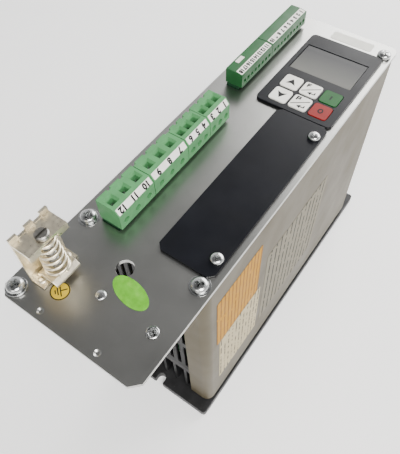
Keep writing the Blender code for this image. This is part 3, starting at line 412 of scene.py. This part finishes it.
def block(x, y, z, corner=0.0, bm=None):
    """A box between spans in millimetres, with its upright corners rounded."""
    bm = bm or bmesh.new()
    verts = bmesh.ops.create_cube(bm, size=MM)["verts"]
    bmesh.ops.scale(bm, vec=[b - a for a, b in (x, y, z)], verts=verts)
    bmesh.ops.translate(bm, vec=[(a + b) / 2 * MM for a, b in (x, y, z)], verts=verts)
    if corner:
        edges = {e for v in verts for e in v.link_edges}
        upright = [e for e in edges if abs(e.verts[0].co.z - e.verts[1].co.z) > 0.9 * e.calc_length()]
        bmesh.ops.bevel(bm, geom=upright, offset=corner * MM, affect="EDGES", segments=4,
                        profile=0.5, material=-1)
    return bm


def turned(profile, place, steps=48):
    """A solid spun about Z from (radius, height) pairs in millimetres, at an (x, y, z) place."""
    part = bmesh.new()
    verts = [part.verts.new((radius * MM, 0, height * MM)) for radius, height in profile]
    edges = [part.edges.new(pair) for pair in zip(verts, verts[1:])]
    bmesh.ops.spin(part, geom=verts + edges, cent=(0, 0, 0), axis=(0, 0, 1), angle=2 * math.pi,
                   steps=steps, use_merge=True)
    bmesh.ops.remove_doubles(part, verts=part.verts, dist=MERGE)
    bmesh.ops.recalc_face_normals(part, faces=part.faces)
    bmesh.ops.translate(part, vec=Vector(place) * MM, verts=part.verts)
    return part


def merge_into(part, bm):
    """Add a bmesh to another. Without another one, it is returned as it is."""
    if bm is None:
        return part
    mesh = bpy.data.meshes.new("part")
    part.to_mesh(mesh)
    part.free()
    bm.from_mesh(mesh)
    bpy.data.meshes.remove(mesh)
    return bm


def carve(bm, cutter, operation="DIFFERENCE"):
    """The bmesh cut by, or joined to, another closed one."""
    shapes = []
    for source in (bm, cutter):
        mesh = bpy.data.meshes.new("shape")
        source.to_mesh(mesh)
        source.free()
        shape = bpy.data.objects.new("shape", mesh)
        bpy.context.scene.collection.objects.link(shape)
        shapes.append(shape)
    step = shapes[0].modifiers.new("carve", "BOOLEAN")
    step.operation = operation
    step.object = shapes[1]
    evaluated = shapes[0].evaluated_get(bpy.context.evaluated_depsgraph_get())
    result = bmesh.new()
    result.from_mesh(evaluated.to_mesh())
    evaluated.to_mesh_clear()
    for shape in shapes:
        bpy.data.objects.remove(shape)
    bmesh.ops.remove_doubles(result, verts=result.verts, dist=MERGE)
    return result


def curve_solid(curve, matrix=None, bm=None):
    """The mesh of a text or curve, its caps welded, put where a matrix says."""
    holder = bpy.data.objects.new("curve", curve)
    bpy.context.scene.collection.objects.link(holder)
    mesh = bpy.data.meshes.new_from_object(holder.evaluated_get(bpy.context.evaluated_depsgraph_get()))
    bpy.data.objects.remove(holder)
    mesh.transform(matrix or Matrix.Identity(4))
    part = bmesh.new()
    part.from_mesh(mesh)
    bmesh.ops.remove_doubles(part, verts=part.verts, dist=MERGE)
    bmesh.ops.recalc_face_normals(part, faces=part.faces)
    return merge_into(part, bm)


def add_number(bm, number, height, matrix):
    """Add the printed digits of a number."""
    curve = bpy.data.curves.new("number", "FONT")
    curve.body = str(number)
    curve.size = height * MM * 1.4
    curve.resolution_u = 3
    curve.extrude = INK / 2 * MM
    curve.offset = 0.21 * MM
    curve.align_x = "CENTER"
    curve.align_y = "CENTER"
    return curve_solid(curve, matrix, bm)


def wire(points, radius):
    """A round wire through points in millimetres."""
    curve = bpy.data.curves.new("wire", "CURVE")
    curve.dimensions = "3D"
    curve.bevel_depth = radius * MM
    curve.bevel_resolution = 3
    curve.use_fill_caps = True
    line = curve.splines.new("POLY")
    line.points.add(len(points) - 1)
    for point, place in zip(line.points, points):
        point.co = (*(Vector(place) * MM), 1)
    return curve_solid(curve)


# ---------------------------------------------------------------- sheet metal and housing


def soften_nodes():
    """CAD pieces whose shape is right and only need broken edges."""
    widths = dict(
        front_plate=0.25, left_cover=0.3, right_cover=0.3, mounting_plate=0.5, heat_sink=0.25,
        lower_end_grille=0.35, upper_end_grille=0.35, keypad_bezel=0.3, blank_cover=0.3,
        display_window=0.15, display_module=0.2, keypad_board=0.1, control_board=0.1,
        power_board=0.1, power_module=0.6, filter_capacitor=0.8, output_relay=0.8,
        supply_transformer=0.8, board_ribbon_cable=0.2, clamp_bracket=0.3, clamp_saddle=0.25,
        earth_washer=0.2,
    )
    slots = {row["node"]: row["material_slot"] for row in frame["record"]["subparts"]}
    for node, width in widths.items():
        body = frame["nodes"][node]["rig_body"]
        make_piece(node + "_finished", soften(cad_copy(node), width), slots[node], body, (node,))
    for node, obj in frame["nodes"].items():
        obj.data.materials.clear()
        obj.data.materials.append(MATERIALS[slots[node]])


# ---------------------------------------------------------------- fasteners


def cross_recess(radius, place, top):
    """A tapered cross for a driver, point down."""
    cutter = None
    for turn in (0, math.pi / 2):
        arm = bmesh.new()
        bmesh.ops.create_cone(arm, cap_ends=True, segments=4, radius1=0.12 * radius * MM,
                              radius2=0.86 * radius * MM, depth=0.75 * radius * MM)
        bmesh.ops.rotate(arm, matrix=Matrix.Rotation(math.pi / 4, 3, "Z"), verts=arm.verts)
        bmesh.ops.scale(arm, vec=(1, 0.26, 1), verts=arm.verts)
        bmesh.ops.rotate(arm, matrix=Matrix.Rotation(turn + 0.35, 3, "Z"), verts=arm.verts)
        bmesh.ops.translate(arm, vec=Vector((*place, top - 0.25 * radius)) * MM, verts=arm.verts)
        cutter = arm if cutter is None else carve(cutter, arm, "UNION")
    return cutter


def pan_head_screw(node, washer):
    """A pan head screw with a cross recess and a rolled thread."""
    x, y, low, high = place_of(node)
    radius = (spans(node)[0][1] - spans(node)[0][0]) / 2
    height, core = 0.68 * radius, 0.47 * radius
    length = high - low - height
    head = [(0, height)]
    for k in range(1, 9):
        angle = math.pi / 2 * k / 8
        head.append((radius * math.sin(angle) ** 0.8, height * (0.16 + 0.84 * math.cos(angle) ** 0.75)))
    head += [(radius, 0.05 * height), (0.94 * radius, 0), (core, 0)]
    pitch = 0.7
    threads = []
    for k in range(int((length - 1) / pitch)):
        z = -0.5 - k * pitch
        threads += [(core, z), (core + 0.16, z - 0.3 * pitch), (core - 0.12, z - 0.8 * pitch)]
    tip = [(0.7 * core, -length), (0, -length)]
    bm = turned(head + threads + tip, (x, y, high - height))
    bm = carve(bm, cross_recess(radius, (x, y), high - 0.12 * height))
    make_piece(node + "_finished", bm, "zinc_screws", replaces=(node,), angle=30)
    if washer:
        ring = [(1.25 * radius, 0.05), (1.25 * radius, 0.24), (1.18 * radius, 0.3), (0.6 * radius, 0.3),
                (0.6 * radius, 0.05), (1.25 * radius, 0.05)]
        make_piece(node + "_washer", turned(ring, (x, y, high - height - 0.33)), "zinc_screws", angle=30)


def fasteners():
    """All plate and cover screws. The two at the cable end bear on washers."""
    for place in ("lower_left", "lower_right", "upper_left", "upper_right"):
        pan_head_screw("front_screw_" + place, place.startswith("lower"))
    for node in ("cover_screw_lower", "cover_screw_upper", "earth_screw"):
        pan_head_screw(node, False)


def threaded_insert():
    """A pressed insert with a rolled rim and a cut thread in its bore."""
    x, y, low, high = place_of("threaded_insert")
    outer, bore = 2.6, 1.75
    rim = [(bore + 0.25, high - low), (outer - 0.3, high - low), (outer, high - low - 0.2)]
    thread = [(outer, 0.2), (outer - 0.2, 0), (bore + 0.1, 0)]
    turns = int((high - low) / 0.7)
    for k in range(turns):
        z = (k + 0.5) * (high - low) / (turns + 0.5)
        thread += [(bore - 0.12, z), (bore + 0.15, z + 0.35)]
    profile = rim + thread + [(bore + 0.25, high - low)]
    make_piece("threaded_insert_finished", turned(profile, (x, y, low)), "zinc_screws",
               replaces=("threaded_insert",), angle=30)


def pressed_stud():
    """A round-headed pin pressed in from the back, with a turned ring near its rim."""
    x, y, low, high = place_of("pressed_stud")
    head, tall = 2.35, 0.8
    profile = [(0, tall)]
    profile += [(head * math.sin(a), tall * math.cos(a) ** 0.8) for a in (0.3, 0.6, 0.9, 1.2, 1.45)]
    profile += [(head, 0.05), (head - 0.1, 0), (1.6, 0), (1.6, low - high + tall + 0.3),
                (1.3, low - high + tall), (0, low - high + tall)]
    make_piece("pressed_stud_finished", turned(profile, (x, y, high - tall)), "zinc_screws",
               replaces=("pressed_stud",))


# ---------------------------------------------------------------- keypad


def slab(points, z, bm=None):
    """A flat shape with straight sides between two heights, from its outline in millimetres."""
    part = bmesh.new()
    face = part.faces.new([part.verts.new(Vector((x, y, z[0])) * MM) for x, y in points])
    top = bmesh.ops.extrude_face_region(part, geom=[face])["geom"]
    lifted = [v for v in top if isinstance(v, bmesh.types.BMVert)]
    bmesh.ops.translate(part, vec=(0, 0, (z[1] - z[0]) * MM), verts=lifted)
    bmesh.ops.recalc_face_normals(part, faces=part.faces)
    return merge_into(part, bm)


def arrow(x, y, size, turn, z, bm=None):
    """A solid triangle with a notched base."""
    points = [(0, 0.62), (-0.62, -0.42), (0, -0.2), (0.62, -0.42)]
    c, s = math.cos(turn), math.sin(turn)
    outline = [(x + size * (a * c - b * s), y + size * (a * s + b * c)) for a, b in points]
    return slab(outline, z, bm)


def bar(start, end, width, z, bm=None):
    """A straight printed stroke between two points."""
    (ax, ay), (bx, by) = start, end
    length = math.hypot(bx - ax, by - ay)
    nx, ny = -(by - ay) / length * width / 2, (bx - ax) / length * width / 2
    return slab([(ax + nx, ay + ny), (ax - nx, ay - ny), (bx - nx, by - ny), (bx + nx, by + ny)], z, bm)


def letter_legend(name, x, y, z):
    """The F or P over a slash and a return sign, on the two keys that do two things."""
    bm = bar((x - 4.2, y - 2.9), (x + 4.2, y + 2.9), 0.55, z)
    letter = ((3.6, 1.7), (2.5, 1.4)) if name == "key_function" else ((3.6, 1.6), (2.4, 1.6))
    bar((x - 3.0, y + 1.1), (x - 3.0, y + 3.9), 0.8, z, bm)
    for rise, width in letter:
        bar((x - 3.0, y + rise), (x - 3.0 + width, y + rise), 0.72, z, bm)
    if name == "key_parameter":
        bar((x - 1.4, y + 1.9), (x - 1.4, y + 3.9), 0.75, z, bm)
    arrow(x + 0.5, y - 2.7, 2.2, math.pi / 2, z, bm)
    bar((x + 0.9, y - 2.7), (x + 3.4, y - 2.7), 0.65, z, bm)
    return bar((x + 3.1, y - 2.7), (x + 3.1, y - 1.2), 0.65, z, bm)


def legend(name, x, y, z):
    """The generic symbol printed on each key."""
    if name == "key_up":
        return arrow(x, y - 0.2, 4.3, 0, z)
    if name == "key_down":
        return arrow(x, y + 0.2, 4.3, math.pi, z)
    if name == "key_start":
        return bar((x, y - 1.5), (x, y + 1.5), 0.85, z)
    if name == "key_stop":
        ring = [(1.8, 0), (1.8, INK), (0.9, INK), (0.9, 0), (1.8, 0)]
        bm = turned(ring, (x, y, z[0]), 32)
        middle = Matrix.Translation(-Vector((x, y, 0)) * MM)
        bmesh.ops.scale(bm, vec=(0.8, 1, 1), verts=bm.verts, space=middle)
        return bm
    return letter_legend(name, x, y, z)


def keys():
    slots = dict(key_start="green_key", key_stop="red_key")
    for node in ("key_down", "key_parameter", "key_stop", "key_up", "key_function", "key_start"):
        slot = slots.get(node, "white_keys")
        make_piece(node + "_cap", soften(cad_copy(node), 0.28, segments=3), slot, node, (node,))
        x, y, _, high = place_of(node)
        mark = legend(node, x, y, (high, high + INK))
        make_piece(node + "_symbol", mark, slot, node, material=PRINT_BLACK)


# ---------------------------------------------------------------- terminals


def facet_matrix(right, high, facet):
    """Puts text on the sloping facet of a plug: it reads towards the cable end."""
    slope = math.atan2(facet["drop"], facet["run"])
    across = Vector((math.cos(slope), 0, -math.sin(slope)))
    along = Vector((0, -1, 0))
    matrix = Matrix((along, across, along.cross(across))).transposed().to_4x4()
    matrix.translation = Vector((right - facet["run"] / 2, 0, high - facet["drop"] / 2)) * MM
    return matrix


def poles_of(node, count, pitch):
    """The Y of each pole of a plug, from the cable end."""
    low, high = spans(node)[1]
    first = (low + high) / 2 - (count - 1) * pitch / 2
    return [first + k * pitch for k in range(count)]


def marker_strip(name, poles, facet, number):
    """The white strip and its running numbers. It returns the number that comes next."""
    node = name + "_plug"
    (_, right), (low, top), (_, high) = spans(node)
    matrix = facet_matrix(right, high, facet)
    length = top - low - 1.2
    strip = block((-length, 0), (-facet["strip"] / 2, facet["strip"] / 2), film_on(0), 0.3)
    bmesh.ops.translate(strip, vec=(length / 2 * MM, 0, 0), verts=strip.verts)
    middle = Matrix.Translation((0, (low + top) / 2 * MM, 0))
    bmesh.ops.transform(strip, matrix=middle @ matrix, verts=strip.verts)
    make_piece(name + "_marker_strip", strip, "light_green_plastic", node, material=STRIP_WHITE)
    bm = bmesh.new()
    for y in reversed(poles):
        above = Matrix.Translation((0, 0, (FILM + INK / 2) * MM))
        spot = Matrix.Translation((0, y * MM, 0)) @ matrix @ above
        add_number(bm, number, facet["digit"], spot)
        number += 1
    make_piece(name + "_numbers", bm, "light_green_plastic", node, material=PRINT_BLACK)
    return number


def slotted_screws(name, poles, x, z, profile, slot, first_turn, steps, lean=None):
    """Clamp screws of a plug, one at each pole, every driver slot at a turn of its own."""
    bm = bmesh.new()
    for y in poles:
        screw = turned(profile, (0, 0, 0), steps)
        cutter = block(*slot)
        bmesh.ops.rotate(cutter, matrix=Matrix.Rotation(first_turn + y, 3, "Z"), verts=cutter.verts)
        screw = carve(screw, cutter)
        if lean:
            bmesh.ops.rotate(screw, matrix=lean, verts=screw.verts)
        bmesh.ops.translate(screw, vec=Vector((x, y, z)) * MM, verts=screw.verts)
        merge_into(screw, bm)
    make_piece(name + "_terminal_screws", bm, "zinc_screws", name + "_plug")


def terminal_screws(name, poles, x, z):
    """Upright clamp screws at the bottom of the wells."""
    profile = [(0, 2.2), (1.2, 2.2), (1.4, 2.0), (1.4, 0.2), (1.2, 0), (0, 0)]
    slotted_screws(name, poles, x, z, profile, ((-1.6, 1.6), (-0.22, 0.22), (1.4, 3.0)), 0.5, 24)


def side_screws(name, poles, x, z):
    """Small clamp screws that look out of the side mouths."""
    profile = [(0, 0.9), (0.6, 0.9), (0.75, 0.75), (0.75, 0), (0, 0)]
    lean = Matrix.Rotation(math.pi / 2, 3, "Y")
    slotted_screws(name, poles, x, z, profile, ((-1, 1), (-0.13, 0.13), (0.5, 1.2)), 0.4, 16, lean)


def well_mouth(x, y, high):
    """The funnel that leads a driver into a screw well."""
    wide, narrow, deep = 2.5, 1.62, 1.3
    rise = (wide - narrow) / deep * 0.2
    bm = bmesh.new()
    bmesh.ops.create_cone(bm, cap_ends=True, segments=4, radius1=narrow * math.sqrt(2) * MM,
                          radius2=(wide + rise) * math.sqrt(2) * MM, depth=(deep + 0.2) * MM)
    bmesh.ops.rotate(bm, matrix=Matrix.Rotation(math.pi / 4, 3, "Z"), verts=bm.verts)
    bmesh.ops.translate(bm, vec=Vector((x, y, high + 0.1 - deep / 2)) * MM, verts=bm.verts)
    return bm


def wide_plug(name, count, pitch, number):
    """A power plug, notched between its poles, with a funnel over each screw well."""
    node = name + "_plug"
    (left, _), (low, top), (_, high) = spans(node)
    poles = poles_of(node, count, pitch)
    cutter = bmesh.new()
    for k in range(count + 1):
        y = poles[0] + (k - 0.5) * pitch
        if low + 0.5 < y < top - 0.5:
            block((left - 1, left + 1.1), (y - 1.0, y + 1.0), (high - 5, high + 1), bm=cutter)
    body = carve(cad_copy(node), cutter)
    for y in poles:
        body = carve(body, well_mouth(left + WELL_INSET, y, high))
    bmesh.ops.dissolve_limit(body, angle_limit=math.radians(0.6), verts=body.verts, edges=body.edges)
    make_piece(node + "_body", soften(body, 0.32), "light_green_plastic", node, (node,))
    terminal_screws(name, poles, left + WELL_INSET, high - WELL_DEPTH)
    return marker_strip(name, poles, WIDE_FACET, number)


def slim_plug(name, count, pitch, number):
    """A signal plug with a clamp screw in each of its side mouths."""
    node = name + "_plug"
    right = spans(node)[0][1]
    poles = poles_of(node, count, pitch)
    make_piece(node + "_body", soften(cad_copy(node), 0.18), "dark_green_plastic", node, (node,))
    shroud_top = spans(name + "_header")[2][1]
    side_screws(name, poles, right - MOUTH_DEPTH, shroud_top + MOUTH_RISE)
    return marker_strip(name, poles, SLIM_FACET, number)


def headers():
    for name in (*WIDE_PLUGS, *SLIM_PLUGS):
        node = name + "_header"
        make_piece(node + "_finished", soften(cad_copy(node), 0.12), "header_plastic", replaces=(node,))


def terminals():
    headers()
    number = 1
    for name in reversed(WIDE_PLUGS):
        number = wide_plug(name, *WIDE_PLUGS[name], number)
    number = 1
    for name in reversed(SLIM_PLUGS):
        number = slim_plug(name, *SLIM_PLUGS[name], number)


# ---------------------------------------------------------------- shield clamp


def shield_clamp():
    """The clamp's screw and the spring round it."""
    x, y, low, high = place_of("clamp_screw")
    width = spans("clamp_screw")[0]
    head, tall = (width[1] - width[0]) / 2, 1.8
    shank = head - 0.8
    length = high - low
    profile = [(0, length), (head - 0.5, length), (head, length - 0.4), (head, length - tall)]
    profile.append((shank, length - tall))
    pitch = 0.8
    for k in range(int((high - low - tall - 2) / pitch)):
        z = high - low - tall - 0.4 - k * pitch
        profile += [(shank, z), (shank - 0.35, z - pitch / 2)]
    profile += [(shank - 0.2, 0.3), (shank - 0.5, 0), (0, 0)]
    screw = turned(profile, (x, y, low))
    slot = block((x - 0.5, x + 0.5), (y - head - 1, y + head + 1), (high - 1.2, high + 1))
    steel = bright_metal("clamp_screw_steel", (0.30, 0.29, 0.27), 0.4)
    make_piece("clamp_screw_finished", carve(screw, slot), "zinc_screws", "clamp_screw",
               ("clamp_screw",), steel, 30)
    wide, narrow, radius, turns, steps = 4.8, 3.6, 0.7, 6.5, 40
    bottom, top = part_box("clamp_spring")[0].z / MM + radius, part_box("clamp_spring")[1].z / MM - radius
    points = []
    for k in range(int(turns * steps) + 1):
        share = k / (turns * steps)
        rise = min(1.0, max(0.0, (share * turns - 0.7) / (turns - 1.4)))
        reach = wide + (narrow - wide) * share
        angle = 2 * math.pi * turns * share
        height = bottom + (top - bottom) * rise
        points.append((x + reach * math.cos(angle), y + reach * math.sin(angle), height))
    coil = wire(points, radius)
    spring = make_piece("clamp_spring_wire", coil, "tinned_clamp", replaces=("clamp_spring",), angle=60)
    tall = (top - bottom + 2 * radius) * MM
    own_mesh(spring)


def clamp_rivets():
    (left, _), (low, high), (bottom, _) = spans("clamp_bracket")
    reach, across = (high - low) / 2 - 2.6, left + 4.4
    for k, y in enumerate(((low + high) / 2 - reach, (low + high) / 2 + reach)):
        dome = [(0, 0.75)] + [(1.9 * math.sin(a), 0.75 * math.cos(a)) for a in (0.4, 0.8, 1.2, 1.5)]
        profile = dome + [(1.9, 0.02), (1.45, 0.02), (1.45, -3.2), (0, -3.2)]
        make_piece(f"clamp_rivet_{k + 1}", turned(profile, (across, y, bottom + 1.2), 32), "tinned_clamp")


# ---------------------------------------------------------------- stickers


def film_on(face):
    """From just off a face to the outside of a sticker on it."""
    return (face + LIFT, face + FILM)


def plate_corner():
    """X and Y of the front plate's corner at the cable end, and the height of its face."""
    (left, _), (start, _), (_, top) = spans("front_plate")
    return left, start, top


def oval(width, length, place, z):
    """A thin disc stretched to an oval, turned about Z by the last value of its place."""
    x, y, turn = place
    bm = bmesh.new()
    middle = Matrix.Translation((0, 0, (z[0] + z[1]) / 2 * MM))
    bmesh.ops.create_cone(bm, cap_ends=True, segments=48, radius1=0.5 * MM, radius2=0.5 * MM,
                          depth=(z[1] - z[0]) * MM, matrix=middle)
    bmesh.ops.scale(bm, vec=(width, length, 1), verts=bm.verts)
    bmesh.ops.rotate(bm, matrix=Matrix.Rotation(turn, 3, "Z"), verts=bm.verts)
    bmesh.ops.translate(bm, vec=Vector((x, y, 0)) * MM, verts=bm.verts)
    return soften(bm, 0.04)


def earth_sticker():
    """A yellow disc with a black ring and the earth symbol, turned as it was stuck on."""
    left, start, top = plate_corner()
    x, y, turn, z = left + 20.8, start + 14.0, math.radians(-38), (top + FILM, top + FILM + INK)
    base = paper("yellow_sticker", (0.50, 0.35, 0.02))
    disc = oval(8.3, 8.3, (x, y, 0), film_on(top))
    make_piece("earth_sticker", disc, "galvanised_plate", material=base)
    ring = [(4.1, 0), (4.1, INK), (3.6, INK), (3.6, 0), (4.1, 0)]
    bm = turned(ring, (x, y, z[0]), 48)
    c, s = math.cos(turn), math.sin(turn)

    def at(a, b):
        return (x + a * c - b * s, y + a * s + b * c)

    bar(at(0, 3.0), at(0, 0.2), 0.5, z, bm)
    for rise, half in ((0.2, 2.6), (-0.9, 1.7), (-1.9, 0.9)):
        bar(at(-half, rise), at(half, rise), 0.5, z, bm)
    make_piece("earth_symbol", bm, "galvanised_plate", material=PRINT_BLACK)


def green_sticker():
    """A plain green oval in place of a mark."""
    left, start, top = plate_corner()
    f = Finish("green_sticker", (0.10, 0.36, 0.016), 0.4)
    f.tone(3, 0.85, 1.15)
    f.over(f.ranged(f.noise(5, 4.0), 0.0, 0.5, 0.55, 0.75), (0.22, 0.52, 0.06))
    f.rough(3, 0.08)
    f.bump(f.noise(2.5, 3.0), 0.5, 0.12)
    place = (left + 44.4, start + 29.3, math.radians(-12))
    bm = oval(19.5, 9.8, place, film_on(top))
    make_piece("green_sticker", bm, "galvanised_plate", material=f.material)


def plain_labels():
    """The blank label above the display and the small one on a signal plug."""
    left, start, top = plate_corner()
    x, y = (left + 34, left + 58.5), (start + 219, start + 226)
    pale = paper("pale_label", (0.78, 0.78, 0.72))
    bm = block(x, y, film_on(top), 1.2)
    make_piece("blank_name_label", bm, "galvanised_plate", material=pale)
    (left, _), (start, _), (_, high) = spans("output_plug")
    bm = block((left + 1.0, left + 3.4), (start + 6.8, start + 12.6), film_on(high), 0.3)
    make_piece("signal_plug_label", bm, "dark_green_plastic", "output_plug", material=pale)


def printed_label(name, colour, ink, line, share, size):
    """Label stock with broken lines in place of print: their pitch, how full they are, and the grain."""
    f = Finish(name, colour, 0.55, Specular_IOR_Level=0.1)
    f.tone(6, 0.94, 1.04)
    split = f.add("SeparateXYZ", {"Vector": f.place})
    rows = f.math("PINGPONG", split.outputs["Y"], line / 2 * MM)
    dashes = f.noise(size, 2.0, f.stretched((0.2, 0.6, 1.0)))
    edge = 0.03  # how softly the print begins and ends
    lines = f.ranged(rows, 0.0, 1.0, 0.35 * line * MM, (0.35 + edge) * line * MM)
    printed = f.math("MULTIPLY", lines, f.ranged(dashes, 0.0, 1.0, 0.5 - share, 0.5 + edge - share))
    f.over(f.math("MULTIPLY", printed, 0.95), ink)
    f.rough(5, 0.06)
    f.bump(f.noise(0.5, 2.0), 0.08, 0.02)
    return f.material


def side_labels():
    """The three stickers on the right cover, with dashes in place of print."""
    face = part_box("right_cover")[1].x / MM
    orange = ((0.40, 0.19, 0.003), (0.15, 0.06, 0.002), 3.1, 0.14, 5.0)
    cream = ((0.42, 0.36, 0.225), (0.03, 0.025, 0.015), 3.6, 0.03, 2.6)
    silver = ((0.18, 0.163, 0.118), (0.004, 0.004, 0.003), 5.2, 0.09, 3.4)
    rows = (
        ("orange_side_label", (-88.5, -50.5), (86, 131), orange),
        ("cream_side_label", (-86.0, -47.0), (33, 85), cream),
        ("silver_side_label", (-43.0, 22.0), (35, 110), silver),
    )
    turn = Matrix(((0, 0, 1), (0, 1, 0), (-1, 0, 0)))
    for name, y, z, look in rows:
        bm = block(z, y, film_on(face), 1.0)
        bmesh.ops.scale(bm, vec=(-1, 1, 1), verts=bm.verts)
        bmesh.ops.rotate(bm, matrix=turn, verts=bm.verts)
        bmesh.ops.recalc_face_normals(bm, faces=bm.faces)
        make_piece(name, bm, "cover_sheet", material=printed_label(name + "_stock", *look))


# ---------------------------------------------------------------- stage


def stage():
    """The pale floor."""
    floor = bpy.data.meshes.new("floor")
    bm = bmesh.new()
    bmesh.ops.create_grid(bm, x_segments=1, y_segments=1, size=3)
    bmesh.ops.translate(bm, vec=(0, 0, -0.2 * MM), verts=bm.verts)
    bm.to_mesh(floor)
    bm.free()
    floor.materials.append(stage_floor())
    floor = bpy.data.objects.new("floor", floor)
    bpy.context.scene.collection.objects.link(floor)


def lamp(name, place, target, size, power, colour=(1, 1, 1)):
    light = bpy.data.lights.new(name, "AREA")
    light.shape = "RECTANGLE"
    light.size, light.size_y = size
    light.energy = power
    light.color = colour
    holder = bpy.data.objects.new(name, light)
    holder.location = place
    holder.rotation_euler = (Vector(target) - Vector(place)).to_track_quat("-Z", "Y").to_euler()
    bpy.context.scene.collection.objects.link(holder)


def lights():
    """A window behind the display end, a key light to the right and a weak fill at the cable end."""
    lamp("window_light", (0.15, 1.2, 0.80), (0, 0.05, 0.1), (1.4, 0.8), 30, (1.0, 0.99, 0.97))
    lamp("key", (0.85, -0.55, 1.35), (0, 0, 0.1), (0.8, 0.8), 36, (1.0, 0.985, 0.96))
    lamp("end_fill", (0.3, -1.2, 0.8), (0, 0, 0.08), (0.7, 0.7), 6, (1.0, 0.97, 0.92))


def range_node(tree, value, from_span, to_span):
    """A Map Range node on a world's value."""
    node = tree.nodes.new("ShaderNodeMapRange")
    node.inputs["From Min"].default_value, node.inputs["From Max"].default_value = from_span
    node.inputs["To Min"].default_value, node.inputs["To Max"].default_value = to_span
    tree.links.new(value, node.inputs["Value"])
    return node.outputs["Result"]


def sky():
    """A white room that is dimmer overhead and towards the cable end."""
    world = bpy.data.worlds.new("studio")
    bpy.context.scene.world = world
    world.use_nodes = True
    tree = world.node_tree
    place = tree.nodes.new("ShaderNodeTexCoord")
    split = tree.nodes.new("ShaderNodeSeparateXYZ")
    tree.links.new(place.outputs["Generated"], split.inputs[0])
    height = range_node(tree, split.outputs["Z"], (0.50, 0.85), (1.0, 0.21))
    side = range_node(tree, split.outputs["Y"], (-0.6, 0.8), (0.45, 1.25))
    both = tree.nodes.new("ShaderNodeMath")
    both.operation = "MULTIPLY"
    tree.links.new(height, both.inputs[0])
    tree.links.new(side, both.inputs[1])
    tree.links.new(both.outputs[0], tree.nodes["Background"].inputs["Strength"])
    tree.nodes["Background"].inputs["Color"].default_value = (1, 1, 1, 1)


def camera():
    """The camera stands over the cable end, to the right of the drive."""
    lens = bpy.data.cameras.new("camera")
    lens.lens, lens.sensor_width = 40.12, 36
    lens.clip_start = 0.01
    holder = bpy.data.objects.new("camera", lens)
    azimuth, elevation, roll = (math.radians(v) for v in (37.56, 55.33, -2.71))
    turn = Matrix.Rotation(azimuth, 4, "Z") @ Matrix.Rotation(math.pi / 2 - elevation, 4, "X")
    holder.matrix_world = turn @ Matrix.Rotation(roll, 4, "Z")
    holder.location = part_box("front_plate")[0] + Vector((123.64, -27.05, 179.61)) * MM
    bpy.context.scene.collection.objects.link(holder)
    bpy.context.scene.camera = holder


soften_nodes()
fasteners()
threaded_insert()
pressed_stud()
keys()
terminals()
shield_clamp()
clamp_rivets()
earth_sticker()
green_sticker()
plain_labels()
side_labels()
stage()
lights()
sky()
camera()
